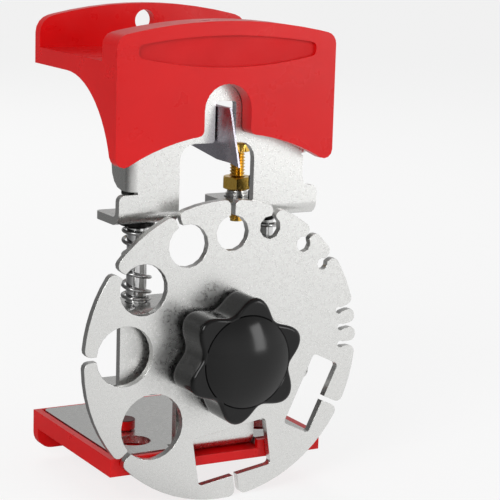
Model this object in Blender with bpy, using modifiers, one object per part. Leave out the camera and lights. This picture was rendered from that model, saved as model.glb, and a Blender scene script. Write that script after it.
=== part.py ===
"""Hand-squeezed cable stripper: a red grip above and below, pressed together in the palm.

A blade in the upper carriage comes down through the slot of whichever station of the
selector disc is turned to the top. Two sprung guide posts lift the carriage again, and
a brass stop screw limits how deep the blade goes.
Metres, +Z up, +Y to the rear, +X to the right as seen from the front. The origin is
under the middle of the part, level with the disc's lowest point.
"""
import math

import bmesh
import bpy
from mathutils import Matrix, Vector

MM = 0.001

# Fits
GAP = 0.3 * MM                # between pieces that rest on or fit in each other
THROUGH = 1.0 * MM            # how far a cutter runs past what it cuts

# Selector disc
DISC_RADIUS = 37.5 * MM
DISC_THICK = 2.0 * MM
SLOT_WIDTH = 1.2 * MM
SLOT_RIM_ROUND = 1.6 * MM     # rounding where a slot opens at the rim
# angle clockwise from the top, seen from the front; hole radius; its centre's distance inside the rim
ROUND_STATIONS = (
    (-133.8, 8.2 * MM, 11.8 * MM),
    (-90.0, 7.4 * MM, 10.6 * MM),
    (-55.2, 6.3 * MM, 9.5 * MM),
    (-24.0, 5.3 * MM, 8.6 * MM),
    (0.0, 4.4 * MM, 8.2 * MM),
    (19.0, 2.9 * MM, 5.3 * MM),
    (38.0, 2.0 * MM, 4.5 * MM),
    (51.5, 1.5 * MM, 4.0 * MM),
)
# the finest stations are alike, and stand a pitch apart along the rim, up to an angle
FINE_COUNT = 3
FINE_HOLE = 0.9 * MM
FINE_INSET = 4.3 * MM
FINE_PITCH = 5.0 * MM
FINE_LAST = 90.0
# angle, width and depth of the flat-cable windows, and how far inside the rim they start
FLAT_STATIONS = (
    (115.4, 19.0 * MM, 8.0 * MM, 5.2 * MM),
    (171.0, 20.5 * MM, 12.3 * MM, 5.4 * MM),
)
WINDOW_ROUND = 1.0 * MM

# Heights, from the disc's lowest point
DISC_CENTRE_Z = DISC_RADIUS
REAR_FOOT_Z = 3.0 * MM        # the lower grip stands on this rear edge
LOWER_RIM_BOTTOM_Z = 8.5 * MM
LOWER_RIM_TOP_Z = 13.0 * MM
BASE_PLATE_Z = 11.2 * MM      # each sheet height is that of its underside
LOWER_TAB_Z = 26.5 * MM
SPRING_FLANGE_Z = 46.5 * MM
FOOT_TAB_Z = 68.8 * MM
WINDOW_TOP_Z = 87.9 * MM
BLADE_SLOT_TOP_Z = 98.0 * MM
TOP_PLATE_Z = 103.8 * MM
GRIP_FLOOR_TOP_Z = 107.9 * MM
FRONT_PANEL_TOP_Z = 117.6 * MM
REAR_PANEL_TOP_Z = 118.9 * MM

# Depths, measured rearward from the disc's front face
KNOB_PROUD = 14.5 * MM
GRIP_REAR = 50.0 * MM
LOWER_PLATE_FRONT = 4.0 * MM
UPPER_PLATE_FRONT = 6.4 * MM
PANEL_FRONT = 1.5 * MM
HANDLE_BACK = 9.7 * MM        # rear of the thick top part of the front panel
POST_BEHIND = 13.9 * MM
STOP_BEHIND = 26.3 * MM
SHORT_TAB_REAR = 20.0 * MM
LONG_TAB_REAR = 32.8 * MM
SIDE_FLANGE_REAR = 16.3 * MM
WEB_FRONT = 9.5 * MM
DISC_FRONT_Y = (KNOB_PROUD - GRIP_REAR) / 2    # centres the whole part on Y = 0

# Sheet steel frames, half widths from the middle
SHEET = 2.0 * MM
BEND_RADIUS = 1.4 * MM        # inside a bend
FLANGE_BEND_RADIUS = 0.4 * MM # inside the sharper bends of the side flanges
BEND_STEPS = 4
RELIEF = 0.6 * MM             # notch beside the end of a bend
FOOT_HEIGHT = 7.5 * MM        # from the tab's underside to the foot's top edge
LOWER_HALF = 26.4 * MM
NECK_HALF = 11.0 * MM
LANDING_INNER = 8.0 * MM      # inner edge of the flange's long part, under the stop screw
LEG_INNER = 10.2 * MM
LEG_OUTER_LEFT = 23.6 * MM
LEG_OUTER_RIGHT = 26.0 * MM
FOOT_LEFT = 26.1 * MM
FOOT_RIGHT = 28.4 * MM
NOTCH_EDGE = 24.1 * MM        # the right leg is cut back to here above its foot
NOTCH_HEIGHT = 7.6 * MM
NOTCH_FILLET = 2.4 * MM
WINDOW_CORNER = 4.0 * MM
BLADE_SLOT_LEFT = -0.9 * MM
BLADE_SLOT_RIGHT = 4.8 * MM
BLADE_SLOT_CORNER = 0.8 * MM
SHEET_CORNER = 1.6 * MM
FLANGE_CORNER = 5.5 * MM
WEB_DEPTH = 16.3 * MM
WEB_LENGTH = 34.5 * MM
WEB_CORNER = 5.0 * MM

# Blade
BLADE_PLANE_X = 1.25 * MM     # the cutting edge runs in this plane, and so do the slots
BLADE_THICK = 2.0 * MM
BLADE_EDGE = 0.5 * MM
BLADE_TIP_Z = 83.0 * MM
BLADE_HEIGHT = 13.8 * MM
BLADE_TIP_BEHIND = -2.4 * MM
BLADE_TOP_BEHIND = 2.6 * MM
BLADE_REAR_BEHIND = 27.0 * MM
BLADE_RAKE = math.radians(7.0)
BLADE_LAND_BEHIND = 2.3 * MM  # the blade stays thin as far back as this
BLADE_GRIND_BEHIND = 6.0 * MM # and has its full thickness from here
CLAMP_BEHIND = 20.4 * MM
CLAMP_Z = 92.5 * MM

# Grips
UPPER_HALF = 29.5 * MM
LOWER_GRIP_HALF = 29.3 * MM
UPPER_WALL = 2.8 * MM
LOWER_WALL = 2.0 * MM
LOWER_FRONT_WALL = 1.4 * MM
REAR_WALL = 3.0 * MM
TRAY_REAR_LIP = 1.0 * MM
FLOOR_THICK = 1.8 * MM
PANEL_TOP_RADIUS = 129.0 * MM
PANEL_FOOT_RADIUS = 53.3 * MM # the panel's lower edge runs round the disc's centre
PANEL_TOP_CORNER = 3.0 * MM
PANEL_FOOT_CORNER = 2.2 * MM
REAR_TOP_RADIUS = 113.0 * MM
REAR_CORNER = 4.5 * MM
NOTCH_HALF = 6.35 * MM
NOTCH_TOP_Z = 102.7 * MM
NOTCH_MOUTH = 1.6 * MM
PAD_HALF = 23.9 * MM
PAD_Z = 110.7 * MM
PAD_RISE = 3.5 * MM
PAD_DROP = 4.1 * MM
PAD_END = 1.5 * MM            # half height of its rounded ends
PAD_DEPTH = 0.8 * MM
GUSSET_RADIUS = 26.2 * MM
GUSSET_BEHIND = 30.0 * MM     # centre of the gusset's round edge
HANG_HOLE_RADIUS = 2.8 * MM
HANG_HOLE_X = -0.4 * MM
HANG_HOLE_Z = 114.4 * MM
REAR_FOOT_CORNER = 4.0 * MM
STAKE_RADIUS = 2.0 * MM
STAKE_HEAD_RADIUS = 2.9 * MM
UPPER_STAKE_HEAD = 1.3 * MM
LOWER_STAKE_HEAD = 2.4 * MM
# distance to the right of the middle, and behind the disc's front face
LOWER_STAKES = ((-15.5 * MM, 24.0 * MM), (15.5 * MM, 24.0 * MM))
UPPER_STAKES = (
    (-18.0 * MM, 16.0 * MM),
    (18.0 * MM, 16.0 * MM),
    (-18.0 * MM, 38.0 * MM),
    (18.0 * MM, 38.0 * MM),
)

# Guide posts and return springs
POST_RADIUS = 2.5 * MM
POST_X = 17.6 * MM
POST_LOW_Z = 24.5 * MM
POST_TOP_Z = 81.4 * MM
POST_THREAD_RADIUS = 2.0 * MM
POST_GROOVE_RADIUS = 2.0 * MM
POST_CHAMFER = 0.4 * MM
POST_NUT_FLATS = 7.0 * MM
POST_NUT_HEIGHT = 3.4 * MM
CLIP_THICK = 0.7 * MM
CLIP_RADIUS = 3.8 * MM
CLIP_MOUTH = math.radians(70)
SEAT_RADIUS = 4.3 * MM        # washer over each spring
SEAT_THICK = 0.8 * MM
POST_PIT_RADIUS = 4.3 * MM    # hole in the base plate that a post end dips into
SPRING_WIRE = 0.9 * MM
SPRING_RADIUS = 3.35 * MM     # to the middle of the wire
SPRING_TURNS = 6
POINTS_PER_TURN = 10

# Pivot, knob and fasteners
STUD_RADIUS = 2.5 * MM
STUD_REAR_BEHIND = 13.0 * MM
SPACER_RADIUS = 6.5 * MM
PIVOT_NUT_FLATS = 8.0 * MM
PIVOT_NUT_HEIGHT = 3.5 * MM
KNOB_TIP_RADIUS = 15.6 * MM
KNOB_VALLEY_RADIUS = 12.0 * MM
KNOB_LOBES = 6
KNOB_TURN = math.radians(10)
KNOB_FACE = 11.5 * MM         # front of the lobes, ahead of the disc
KNOB_DOME_RADIUS = 11.2 * MM
KNOB_EDGE = 0.6 * MM
KNOB_WASHER_RADIUS = 7.5 * MM
KNOB_WASHER_THICK = 0.8 * MM
INSERT_WALL = 1.4 * MM
STOP_X = 16.6 * MM
STOP_RADIUS = 1.95 * MM
STOP_HEAD_RADIUS = 3.2 * MM
STOP_HEAD = 2.4 * MM
STOP_TOP_Z = 85.0 * MM
STOP_TIP_Z = 64.5 * MM
STOP_SLOT_WIDTH = 1.0 * MM
LOCK_NUT_FLATS = 7.0 * MM
LOCK_NUT_HEIGHT = 3.2 * MM
COLLAR_RADIUS = 3.2 * MM
COLLAR_HEIGHT = 1.5 * MM
COLLAR_SLEEVE = 0.8 * MM      # wall of the threaded insert inside the foot tab
BOLT_RADIUS = 2.0 * MM
BOLT_HEAD_RADIUS = 3.8 * MM
BOLT_HEAD = 2.4 * MM
BOLT_END = 4.0 * MM           # bolt left showing past its nut
BOLT_NUT_FLATS = 7.0 * MM
BOLT_NUT_HEIGHT = 2.5 * MM
WASHER_RADIUS = 4.4 * MM
WASHER_THICK = 0.8 * MM

ROUND_STEPS = 28
RIM_STEP = math.radians(5)

# Worked out from the values above
PLATE_TOP = BASE_PLATE_Z + SHEET
FLANGE_TOP = SPRING_FLANGE_Z + SHEET
FOOT_TAB_TOP = FOOT_TAB_Z + SHEET
FOOT_TOP_Z = FOOT_TAB_Z + FOOT_HEIGHT
BEND_REACH = BEND_RADIUS + SHEET / 2
FLANGE_BEND_REACH = FLANGE_BEND_RADIUS + SHEET / 2
TAB_INNER = NECK_HALF + RELIEF
LEG_FLAT_LEFT = LEG_OUTER_LEFT - SHEET / 2 - FLANGE_BEND_REACH
LEG_FLAT_RIGHT = LEG_OUTER_RIGHT - SHEET / 2 - FLANGE_BEND_REACH
GRIP_FLOOR_Z = GRIP_FLOOR_TOP_Z - FLOOR_THICK
GUSSET_Z = TOP_PLATE_Z - GUSSET_RADIUS
BLADE_FACE_X = BLADE_PLANE_X + BLADE_EDGE / 2       # flat side of the blade
BLADE_BACK_X = BLADE_FACE_X - BLADE_THICK
WEB_RIGHT_X = BLADE_BACK_X - GAP
WEB_LEFT_X = WEB_RIGHT_X - SHEET
PANEL_BACK = UPPER_PLATE_FRONT - GAP
STUD_HOLE = STUD_RADIUS + GAP

# finish: name, colour, roughness, metallic
RED = ("red plastic", (0.74, 0.02, 0.02), 0.35, 0.0)
STEEL = ("zinc steel", (0.70, 0.70, 0.69), 0.38, 1.0)
BLACK_STEEL = ("blackened steel", (0.05, 0.05, 0.05), 0.4, 1.0)
BRIGHT_STEEL = ("bright steel", (0.80, 0.80, 0.80), 0.2, 1.0)
BRASS = ("brass", (0.75, 0.52, 0.16), 0.25, 1.0)
BLACK = ("black plastic", (0.03, 0.03, 0.03), 0.2, 0.0)

# Matrices that stand a flat outline up on a plane of the part
FACING_FRONT = Matrix(((1, 0, 0, 0), (0, 0, 1, 0), (0, 1, 0, 0), (0, 0, 0, 1)))
FACING_SIDE = Matrix(((0, 0, 1, 0), (1, 0, 0, 0), (0, 1, 0, 0), (0, 0, 0, 1)))
FACING_UP = Matrix.Identity(4)


def behind(depth):
    """World Y of a depth measured from the disc's front face."""
    return DISC_FRONT_Y + depth


def start_scene():
    for thing in list(bpy.data.objects):
        bpy.data.objects.remove(thing, do_unlink=True)
    part = bpy.data.collections.new("cable_stripper")
    cutters = bpy.data.collections.new("cutters")
    bpy.context.scene.collection.children.link(part)
    bpy.context.scene.collection.children.link(cutters)
    return part, cutters


PART, CUTTERS = start_scene()


def add_piece(name, mesh):
    piece = bpy.data.objects.new(name, mesh)
    PART.objects.link(piece)
    return piece


def dress(piece, finish):
    """Gives a piece its own material and smooth round sides."""
    name, colour, roughness, metallic = finish
    material = bpy.data.materials.new(piece.name + " " + name)
    material.use_nodes = True
    shader = material.node_tree.nodes["Principled BSDF"]
    shader.inputs["Base Color"].default_value = (*colour, 1.0)
    shader.inputs["Roughness"].default_value = roughness
    shader.inputs["Metallic"].default_value = metallic
    piece.data.materials.clear()
    piece.data.materials.append(material)
    piece.data.shade_smooth()
    piece.data.set_sharp_from_angle(angle=math.radians(32))


def evaluated_mesh(piece):
    bpy.context.view_layer.update()
    depsgraph = bpy.context.evaluated_depsgraph_get()
    return bpy.data.meshes.new_from_object(piece.evaluated_get(depsgraph))


def welded(name, data, modify=None):
    """Closed mesh, faces outward, of a temporary object made from a curve or a mesh."""
    piece = bpy.data.objects.new(name, data)
    CUTTERS.objects.link(piece)
    if modify:
        modify(piece)
    mesh = evaluated_mesh(piece)
    bpy.data.objects.remove(piece, do_unlink=True)
    form = bmesh.new()
    form.from_mesh(mesh)
    bmesh.ops.remove_doubles(form, verts=form.verts, dist=1e-6)
    bmesh.ops.recalc_face_normals(form, faces=form.faces)
    form.to_mesh(mesh)
    form.free()
    return mesh


def extruded(outlines, facing, low, high):
    """A flat outline, with any holes after it, as a solid between two planes."""
    curve = bpy.data.curves.new("outline", "CURVE")
    curve.dimensions = "2D"
    curve.fill_mode = "BOTH"
    curve.extrude = (high - low) / 2
    for points in outlines:
        spline = curve.splines.new("POLY")
        spline.points.add(len(points) - 1)
        for point, (u, v) in zip(spline.points, points):
            point.co = (u, v, 0, 1)
        spline.use_cyclic_u = True
    mesh = welded("outline", curve)
    mesh.transform(facing @ Matrix.Translation((0, 0, (low + high) / 2)))
    if facing.determinant() < 0:
        mesh.flip_normals()
    return mesh


def box(x, y, z):
    """A box from three (low, high) pairs."""
    form = bmesh.new()
    bmesh.ops.create_cube(form, size=1)
    size = Matrix.Diagonal((x[1] - x[0], y[1] - y[0], z[1] - z[0], 1))
    middle = Matrix.Translation(((x[0] + x[1]) / 2, (y[0] + y[1]) / 2, (z[0] + z[1]) / 2))
    bmesh.ops.transform(form, matrix=middle @ size, verts=form.verts)
    mesh = bpy.data.meshes.new("box")
    form.to_mesh(mesh)
    form.free()
    return mesh


AXIS_TURNS = {
    "X": Matrix.Rotation(math.pi / 2, 4, "Y"),
    "Y": Matrix.Rotation(-math.pi / 2, 4, "X"),
    "Z": Matrix.Identity(4),
}


def rod(axis, centre, radius, low, high, steps=ROUND_STEPS, end_radius=None):
    """A cylinder or cone along X, Y or Z between two planes; 6 steps make a hexagon."""
    form = bmesh.new()
    far_radius = radius if end_radius is None else end_radius
    bmesh.ops.create_cone(
        form, cap_ends=True, segments=steps, radius1=radius, radius2=far_radius, depth=high - low
    )
    place = Vector(centre)
    place["XYZ".index(axis)] = (low + high) / 2
    bmesh.ops.transform(form, matrix=Matrix.Translation(place) @ AXIS_TURNS[axis], verts=form.verts)
    mesh = bpy.data.meshes.new("rod")
    form.to_mesh(mesh)
    form.free()
    return mesh


def turned(axis, centre, profile, steps=ROUND_STEPS):
    """A turned solid: profile points are (radius, distance along the axis), top first."""
    mesh = bpy.data.meshes.new("profile")
    edges = [(i, i + 1) for i in range(len(profile) - 1)]
    mesh.from_pydata([(radius, 0, height) for radius, height in profile], edges, [])

    def screw(piece):
        turning = piece.modifiers.new("turning", "SCREW")
        turning.steps = steps
        turning.render_steps = steps
        turning.use_merge_vertices = True
        turning.merge_threshold = 1e-6

    solid = welded("profile", mesh, screw)
    place = Vector(centre)
    place["XYZ".index(axis)] = 0
    solid.transform(Matrix.Translation(place) @ AXIS_TURNS[axis])
    return solid


def combine(piece, mesh, operation):
    """Cuts, joins or limits a piece by another solid, and applies the result."""
    tool = bpy.data.objects.new(piece.name + " tool", mesh)
    CUTTERS.objects.link(tool)
    tool.hide_render = True
    tool.display_type = "WIRE"
    modifier = piece.modifiers.new(operation.lower(), "BOOLEAN")
    modifier.operation = operation
    modifier.solver = "EXACT"
    modifier.object = tool
    result = evaluated_mesh(piece)
    piece.modifiers.clear()
    piece.data = result
    bpy.data.objects.remove(tool, do_unlink=True)


def cut(piece, *meshes):
    for mesh in meshes:
        combine(piece, mesh, "DIFFERENCE")


def join(piece, *meshes):
    for mesh in meshes:
        combine(piece, mesh, "UNION")


def arc(centre, radius, start, end, steps):
    """Points round a centre, from one angle to another, both ends included."""
    points = []
    for i in range(steps + 1):
        angle = start + (end - start) * i / steps
        points.append((centre[0] + radius * math.cos(angle), centre[1] + radius * math.sin(angle)))
    return points


def rounded(corners, radii, steps=4):
    """An outline with each corner replaced by an arc of its own radius."""
    points = []
    for i, corner in enumerate(corners):
        here = Vector(corner)
        if radii[i] <= 0:
            points.append(tuple(here))
            continue
        before = (Vector(corners[i - 1]) - here).normalized()
        after = (Vector(corners[(i + 1) % len(corners)]) - here).normalized()
        half = before.angle(after) / 2
        centre = here + (before + after).normalized() * radii[i] / math.sin(half)
        reach = radii[i] / math.tan(half)
        first = here + before * reach - centre
        last = here + after * reach - centre
        sweep = first.angle_signed(last)
        for k in range(steps + 1):
            points.append(tuple(centre + Matrix.Rotation(-sweep * k / steps, 2) @ first))
    return points


def moved(points, x, y):
    return [(x + px, y + py) for px, py in points]


def hex_radius(flats):
    """Corner radius of a hexagon from its width across flats."""
    return flats / math.sqrt(3)


def drilled(name, outer, inner, axis, centre, low, high, finish, steps=ROUND_STEPS):
    """A ring, washer or nut: a solid with a round hole along its axis."""
    piece = add_piece(name, rod(axis, centre, outer, low, high, steps))
    cut(piece, rod(axis, centre, inner, low - THROUGH, high + THROUGH))
    dress(piece, finish)
    return piece


# Selector disc


def at_angle(points, angle):
    """Points of a station at the top, turned clockwise to its own angle."""
    c, s = math.cos(angle), math.sin(angle)
    return [(x * c + z * s, z * c - x * s) for x, z in points]


def rim_flare(side):
    """The rounded corner between one wall of the slot and the rim, at the top."""
    centre_x = BLADE_PLANE_X + side * (SLOT_WIDTH / 2 + SLOT_RIM_ROUND)
    centre_z = math.sqrt((DISC_RADIUS - SLOT_RIM_ROUND) ** 2 - centre_x**2)
    outward = math.atan2(centre_z, centre_x)
    inward = math.pi if side > 0 else 0.0
    return arc((centre_x, centre_z), SLOT_RIM_ROUND, outward, inward, 3)


def round_station(radius, inset):
    mouth = math.asin(SLOT_WIDTH / 2 / radius)
    steps = max(8, round(radius / MM * 3))
    centre = (BLADE_PLANE_X, DISC_RADIUS - inset)
    hole = arc(centre, radius, math.pi / 2 + mouth, 2.5 * math.pi - mouth, steps)
    return rim_flare(-1) + hole + rim_flare(1)[::-1]


def flat_station(width, depth, inset):
    top = DISC_RADIUS - inset
    left, right = BLADE_PLANE_X - width / 2, BLADE_PLANE_X + width / 2
    slot_left, slot_right = BLADE_PLANE_X - SLOT_WIDTH / 2, BLADE_PLANE_X + SLOT_WIDTH / 2
    corners = [(slot_left, top), (left, top), (left, top - depth)]
    corners += [(right, top - depth), (right, top), (slot_right, top)]
    window = rounded(corners, [0] + [WINDOW_ROUND] * 4 + [0])
    return rim_flare(-1) + window + rim_flare(1)[::-1]


def disc_outline():
    stations = [(angle, round_station(*sizes)) for angle, *sizes in ROUND_STATIONS]
    fine_step = math.degrees(FINE_PITCH / DISC_RADIUS)
    for i in range(FINE_COUNT):
        stations.append((FINE_LAST - fine_step * i, round_station(FINE_HOLE, FINE_INSET)))
    stations += [(angle, flat_station(*sizes)) for angle, *sizes in FLAT_STATIONS]
    stations.sort(key=lambda station: station[0])
    turned_points = [at_angle(points, math.radians(angle)) for angle, points in stations]
    outline = []
    for here, ahead in zip(turned_points, turned_points[1:] + turned_points[:1]):
        start = math.atan2(here[-1][1], here[-1][0])
        end = math.atan2(ahead[0][1], ahead[0][0])
        sweep = (start - end) % (2 * math.pi)
        steps = max(1, round(sweep / RIM_STEP))
        outline += here + arc((0, 0), DISC_RADIUS, start, start - sweep, steps)[1:-1]
    return outline


def make_disc():
    bore = arc((0, 0), STUD_HOLE, 0, 2 * math.pi, ROUND_STEPS)[:-1]
    outlines = [moved(disc_outline(), 0, DISC_CENTRE_Z), moved(bore, 0, DISC_CENTRE_Z)]
    disc = add_piece("selector_disc", extruded(outlines, FACING_FRONT, behind(0), behind(DISC_THICK)))
    dress(disc, STEEL)


# Sheet frames


def bend(corner, start, end, reach=BEND_REACH):
    """Mid-line points of a bend at a corner between two directions."""
    return rounded([start, corner, end], [0, reach, 0], BEND_STEPS)[1:-1]


def add_strip(form, profile, columns):
    """A strip of the sheet's middle surface: profile points (y, z), columns along X."""
    add_cells(form, [[form.verts.new((x, y, z)) for x in columns] for y, z in profile])


def add_wall(form, profile, heights):
    """A strip that stands up: profile points (x, y), one row for each height."""
    add_cells(form, [[form.verts.new((x, y, z)) for x, y in profile] for z in heights])


def add_cells(form, rows):
    for lower, upper in zip(rows, rows[1:]):
        for i in range(len(lower) - 1):
            form.faces.new((lower[i], lower[i + 1], upper[i + 1], upper[i]))


def sheet_mesh(form, corners):
    """Sheet steel from its middle surface; corners are (place, radius) to round off."""
    bmesh.ops.remove_doubles(form, verts=form.verts, dist=1e-6)
    bmesh.ops.recalc_face_normals(form, faces=form.faces)
    for place, radius in corners:
        nearest = min(form.verts, key=lambda vert: (vert.co - Vector(place)).length)
        bmesh.ops.bevel(form, geom=[nearest], offset=radius, segments=4, profile=0.5, affect="VERTICES")
    mesh = bpy.data.meshes.new("sheet")
    form.to_mesh(mesh)
    form.free()

    def thicken(piece):
        wall = piece.modifiers.new("wall", "SOLIDIFY")
        wall.thickness = SHEET
        wall.offset = 0
        wall.use_even_offset = True

    return welded("sheet", mesh, thicken)


def both_sides(points):
    return [(side * x, y, z) for side in (-1, 1) for x, y, z in points]


def make_lower_frame():
    middle = behind(LOWER_PLATE_FRONT + SHEET / 2)
    far = behind(GRIP_REAR)
    base, tab, flange = (z + SHEET / 2 for z in (BASE_PLATE_Z, LOWER_TAB_Z, SPRING_FLANGE_Z))
    tab_row = tab + BEND_REACH
    base_front = behind(LOWER_PLATE_FRONT) + GAP
    base_row = middle + BEND_REACH
    base_rear = behind(GRIP_REAR - TRAY_REAR_LIP) - GAP
    base_half = LOWER_GRIP_HALF - LOWER_WALL - GAP
    neck = [-NECK_HALF, LANDING_INNER, NECK_HALF]
    base_columns = [-base_half, -TAB_INNER] + neck + [TAB_INNER, base_half]
    wide_columns = [-LOWER_HALF, -TAB_INNER] + neck + [TAB_INNER, LOWER_HALF]
    low_bend = bend((middle, base), (far, base), (middle, tab))
    top_bend = bend((middle, flange), (middle, tab), (far, flange))
    tab_bend = bend((middle, tab), (middle, flange), (far, tab))
    form = bmesh.new()
    add_strip(form, [(base_rear, base), (base_row, base)], base_columns)
    add_strip(form, low_bend + [(middle, tab_row)], neck)
    add_strip(form, [(middle, tab_row)] + top_bend + [(behind(SHORT_TAB_REAR), flange)], wide_columns)
    landing = [LANDING_INNER, NECK_HALF, TAB_INNER, LOWER_HALF]
    add_strip(form, [(behind(SHORT_TAB_REAR), flange), (behind(LONG_TAB_REAR), flange)], landing)
    for side in (-1, 1):
        tab_columns = (side * TAB_INNER, side * LOWER_HALF)
        add_strip(form, tab_bend + [(behind(SHORT_TAB_REAR), tab)], tab_columns)
        wing_columns = (side * TAB_INNER, side * base_half)
        add_strip(form, [(base_row, base), (base_front, base)], wing_columns)
    corners = both_sides([
        (LOWER_HALF, behind(SHORT_TAB_REAR), tab),
        (TAB_INNER, behind(SHORT_TAB_REAR), tab),
        (base_half, base_rear, base),
        (base_half, base_front, base),
    ])
    corners += [(-LOWER_HALF, behind(SHORT_TAB_REAR), flange)]
    corners += [(LOWER_HALF, behind(LONG_TAB_REAR), flange), (LANDING_INNER, behind(LONG_TAB_REAR), flange)]
    frame = add_piece("lower_frame", sheet_mesh(form, [(place, SHEET_CORNER) for place in corners]))
    cut(frame, rod("Y", (0, 0, DISC_CENTRE_Z), STUD_HOLE, middle - SHEET, middle + SHEET))
    for place in post_places():
        cut(frame, rod("Z", place, POST_RADIUS + GAP, tab - SHEET, tab + SHEET))
        cut(frame, rod("Z", place, POST_RADIUS + GAP, flange - SHEET, flange + SHEET))
        cut(frame, rod("Z", place, POST_PIT_RADIUS, base - SHEET, base + SHEET))
    for x, depth in LOWER_STAKES:
        cut(frame, rod("Z", (x, behind(depth), 0), STAKE_RADIUS + GAP, base - SHEET, base + SHEET))
    dress(frame, STEEL)


def make_upper_frame():
    middle = behind(UPPER_PLATE_FRONT + SHEET / 2)
    far = behind(GRIP_REAR)
    foot, top = FOOT_TAB_Z + SHEET / 2, TOP_PLATE_Z + SHEET / 2
    rear = behind(GRIP_REAR - REAR_WALL) - GAP
    plate_half = UPPER_HALF - UPPER_WALL - GAP
    top_row = top - BEND_REACH
    left_row = FOOT_TOP_Z + RELIEF
    notch_row = FOOT_TOP_Z + NOTCH_HEIGHT
    right_row = notch_row + RELIEF
    flange_row = top_row - RELIEF
    plate_row = middle + BEND_REACH
    flat = [-LEG_FLAT_LEFT, -LEG_INNER, LEG_INNER, LEG_FLAT_RIGHT]
    rows = (FOOT_TOP_Z, left_row, notch_row, right_row, flange_row, top_row)
    form = bmesh.new()
    add_strip(form, [(middle, z) for z in rows], flat)
    add_notched_edge(form, middle, left_row, notch_row)
    add_strip(form, bend((middle, top), (middle, foot), (far, top)), flat)
    add_strip(form, [(plate_row, top), (rear, top)], [-plate_half] + flat + [plate_half])
    corners = [(place, SHEET_CORNER) for place in both_sides([
        (plate_half, plate_row, top),
        (plate_half, rear, top),
    ])]
    foot_bend = bend((middle, foot), (middle, top), (far, foot))
    feet = (
        (SHORT_TAB_REAR, [-LEG_INNER, -LEG_FLAT_LEFT, -FOOT_LEFT]),
        (LONG_TAB_REAR, [LEG_INNER, LEG_FLAT_RIGHT, NOTCH_EDGE + NOTCH_FILLET, FOOT_RIGHT]),
    )
    for depth, columns in feet:
        add_strip(form, [(middle, FOOT_TOP_Z)] + foot_bend + [(behind(depth), foot)], columns)
        corners.append(((columns[-1], middle, FOOT_TOP_Z), SHEET_CORNER))
        corners += [((x, behind(depth), foot), SHEET_CORNER) for x in (columns[0], columns[-1])]
    flanges = (
        (SHEET / 2 - LEG_OUTER_LEFT, (left_row, notch_row, right_row, flange_row)),
        (LEG_OUTER_RIGHT - SHEET / 2, (right_row, flange_row)),
    )
    for wall_x, heights in flanges:
        wall = bend((wall_x, middle), (0, middle), (wall_x, far), FLANGE_BEND_REACH)
        wall.append((wall_x, behind(SIDE_FLANGE_REAR)))
        add_wall(form, wall, heights)
        corners.append(((wall_x, behind(SIDE_FLANGE_REAR), heights[0]), FLANGE_CORNER))
    frame = add_piece("upper_frame", sheet_mesh(form, corners))
    cut(frame, extruded([window_outline()], FACING_FRONT, middle - SHEET, middle + SHEET))
    join(frame, blade_web())
    clamp = (0, behind(CLAMP_BEHIND), CLAMP_Z)
    cut(frame, rod("X", clamp, BOLT_RADIUS + GAP, WEB_LEFT_X - THROUGH, WEB_RIGHT_X + THROUGH))
    for place in post_places():
        cut(frame, rod("Z", place, POST_THREAD_RADIUS + GAP, foot - SHEET, foot + SHEET))
    sleeve_hole = STOP_RADIUS + GAP + COLLAR_SLEEVE + GAP
    cut(frame, rod("Z", (STOP_X, behind(STOP_BEHIND), 0), sleeve_hole, foot - SHEET, foot + SHEET))
    for x, depth in UPPER_STAKES:
        cut(frame, rod("Z", (x, behind(depth), 0), STAKE_RADIUS + GAP, top - SHEET, top + SHEET))
    dress(frame, STEEL)


def add_notched_edge(form, middle, left_row, notch_row):
    """Edge of the right leg between its foot and its flange, with a fillet at the foot."""
    centre = (NOTCH_EDGE + NOTCH_FILLET, FOOT_TOP_Z + NOTCH_FILLET)
    fillet = arc(centre, NOTCH_FILLET, 1.5 * math.pi, math.pi, 4)
    inner = [(LEG_FLAT_RIGHT, z) for z in (notch_row, left_row, FOOT_TOP_Z)]
    outline = fillet + [(NOTCH_EDGE, notch_row)] + inner
    form.faces.new([form.verts.new((x, middle, z)) for x, z in outline])


def window_outline():
    """Space between the legs, and the blade's slot above it."""
    low = FOOT_TOP_Z - THROUGH
    corners = [(-LEG_INNER, low), (-LEG_INNER, WINDOW_TOP_Z), (BLADE_SLOT_LEFT, WINDOW_TOP_Z)]
    corners += [(BLADE_SLOT_LEFT, BLADE_SLOT_TOP_Z), (BLADE_SLOT_RIGHT, BLADE_SLOT_TOP_Z)]
    corners += [(BLADE_SLOT_RIGHT, WINDOW_TOP_Z), (LEG_INNER, WINDOW_TOP_Z), (LEG_INNER, low)]
    return rounded(corners, [0, WINDOW_CORNER] + [BLADE_SLOT_CORNER] * 4 + [WINDOW_CORNER, 0])


def blade_web():
    """The lug under the top plate that the blade is bolted to."""
    front, low, high = behind(WEB_FRONT), TOP_PLATE_Z - WEB_DEPTH, TOP_PLATE_Z + SHEET / 2
    corners = [(front, low), (front + WEB_LENGTH, low), (front + WEB_LENGTH, high), (front, high)]
    outline = rounded(corners, [SHEET_CORNER, WEB_CORNER, 0, 0], 6)
    return extruded([outline], FACING_SIDE, WEB_LEFT_X, WEB_RIGHT_X)


# Blade and its clamp


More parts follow.
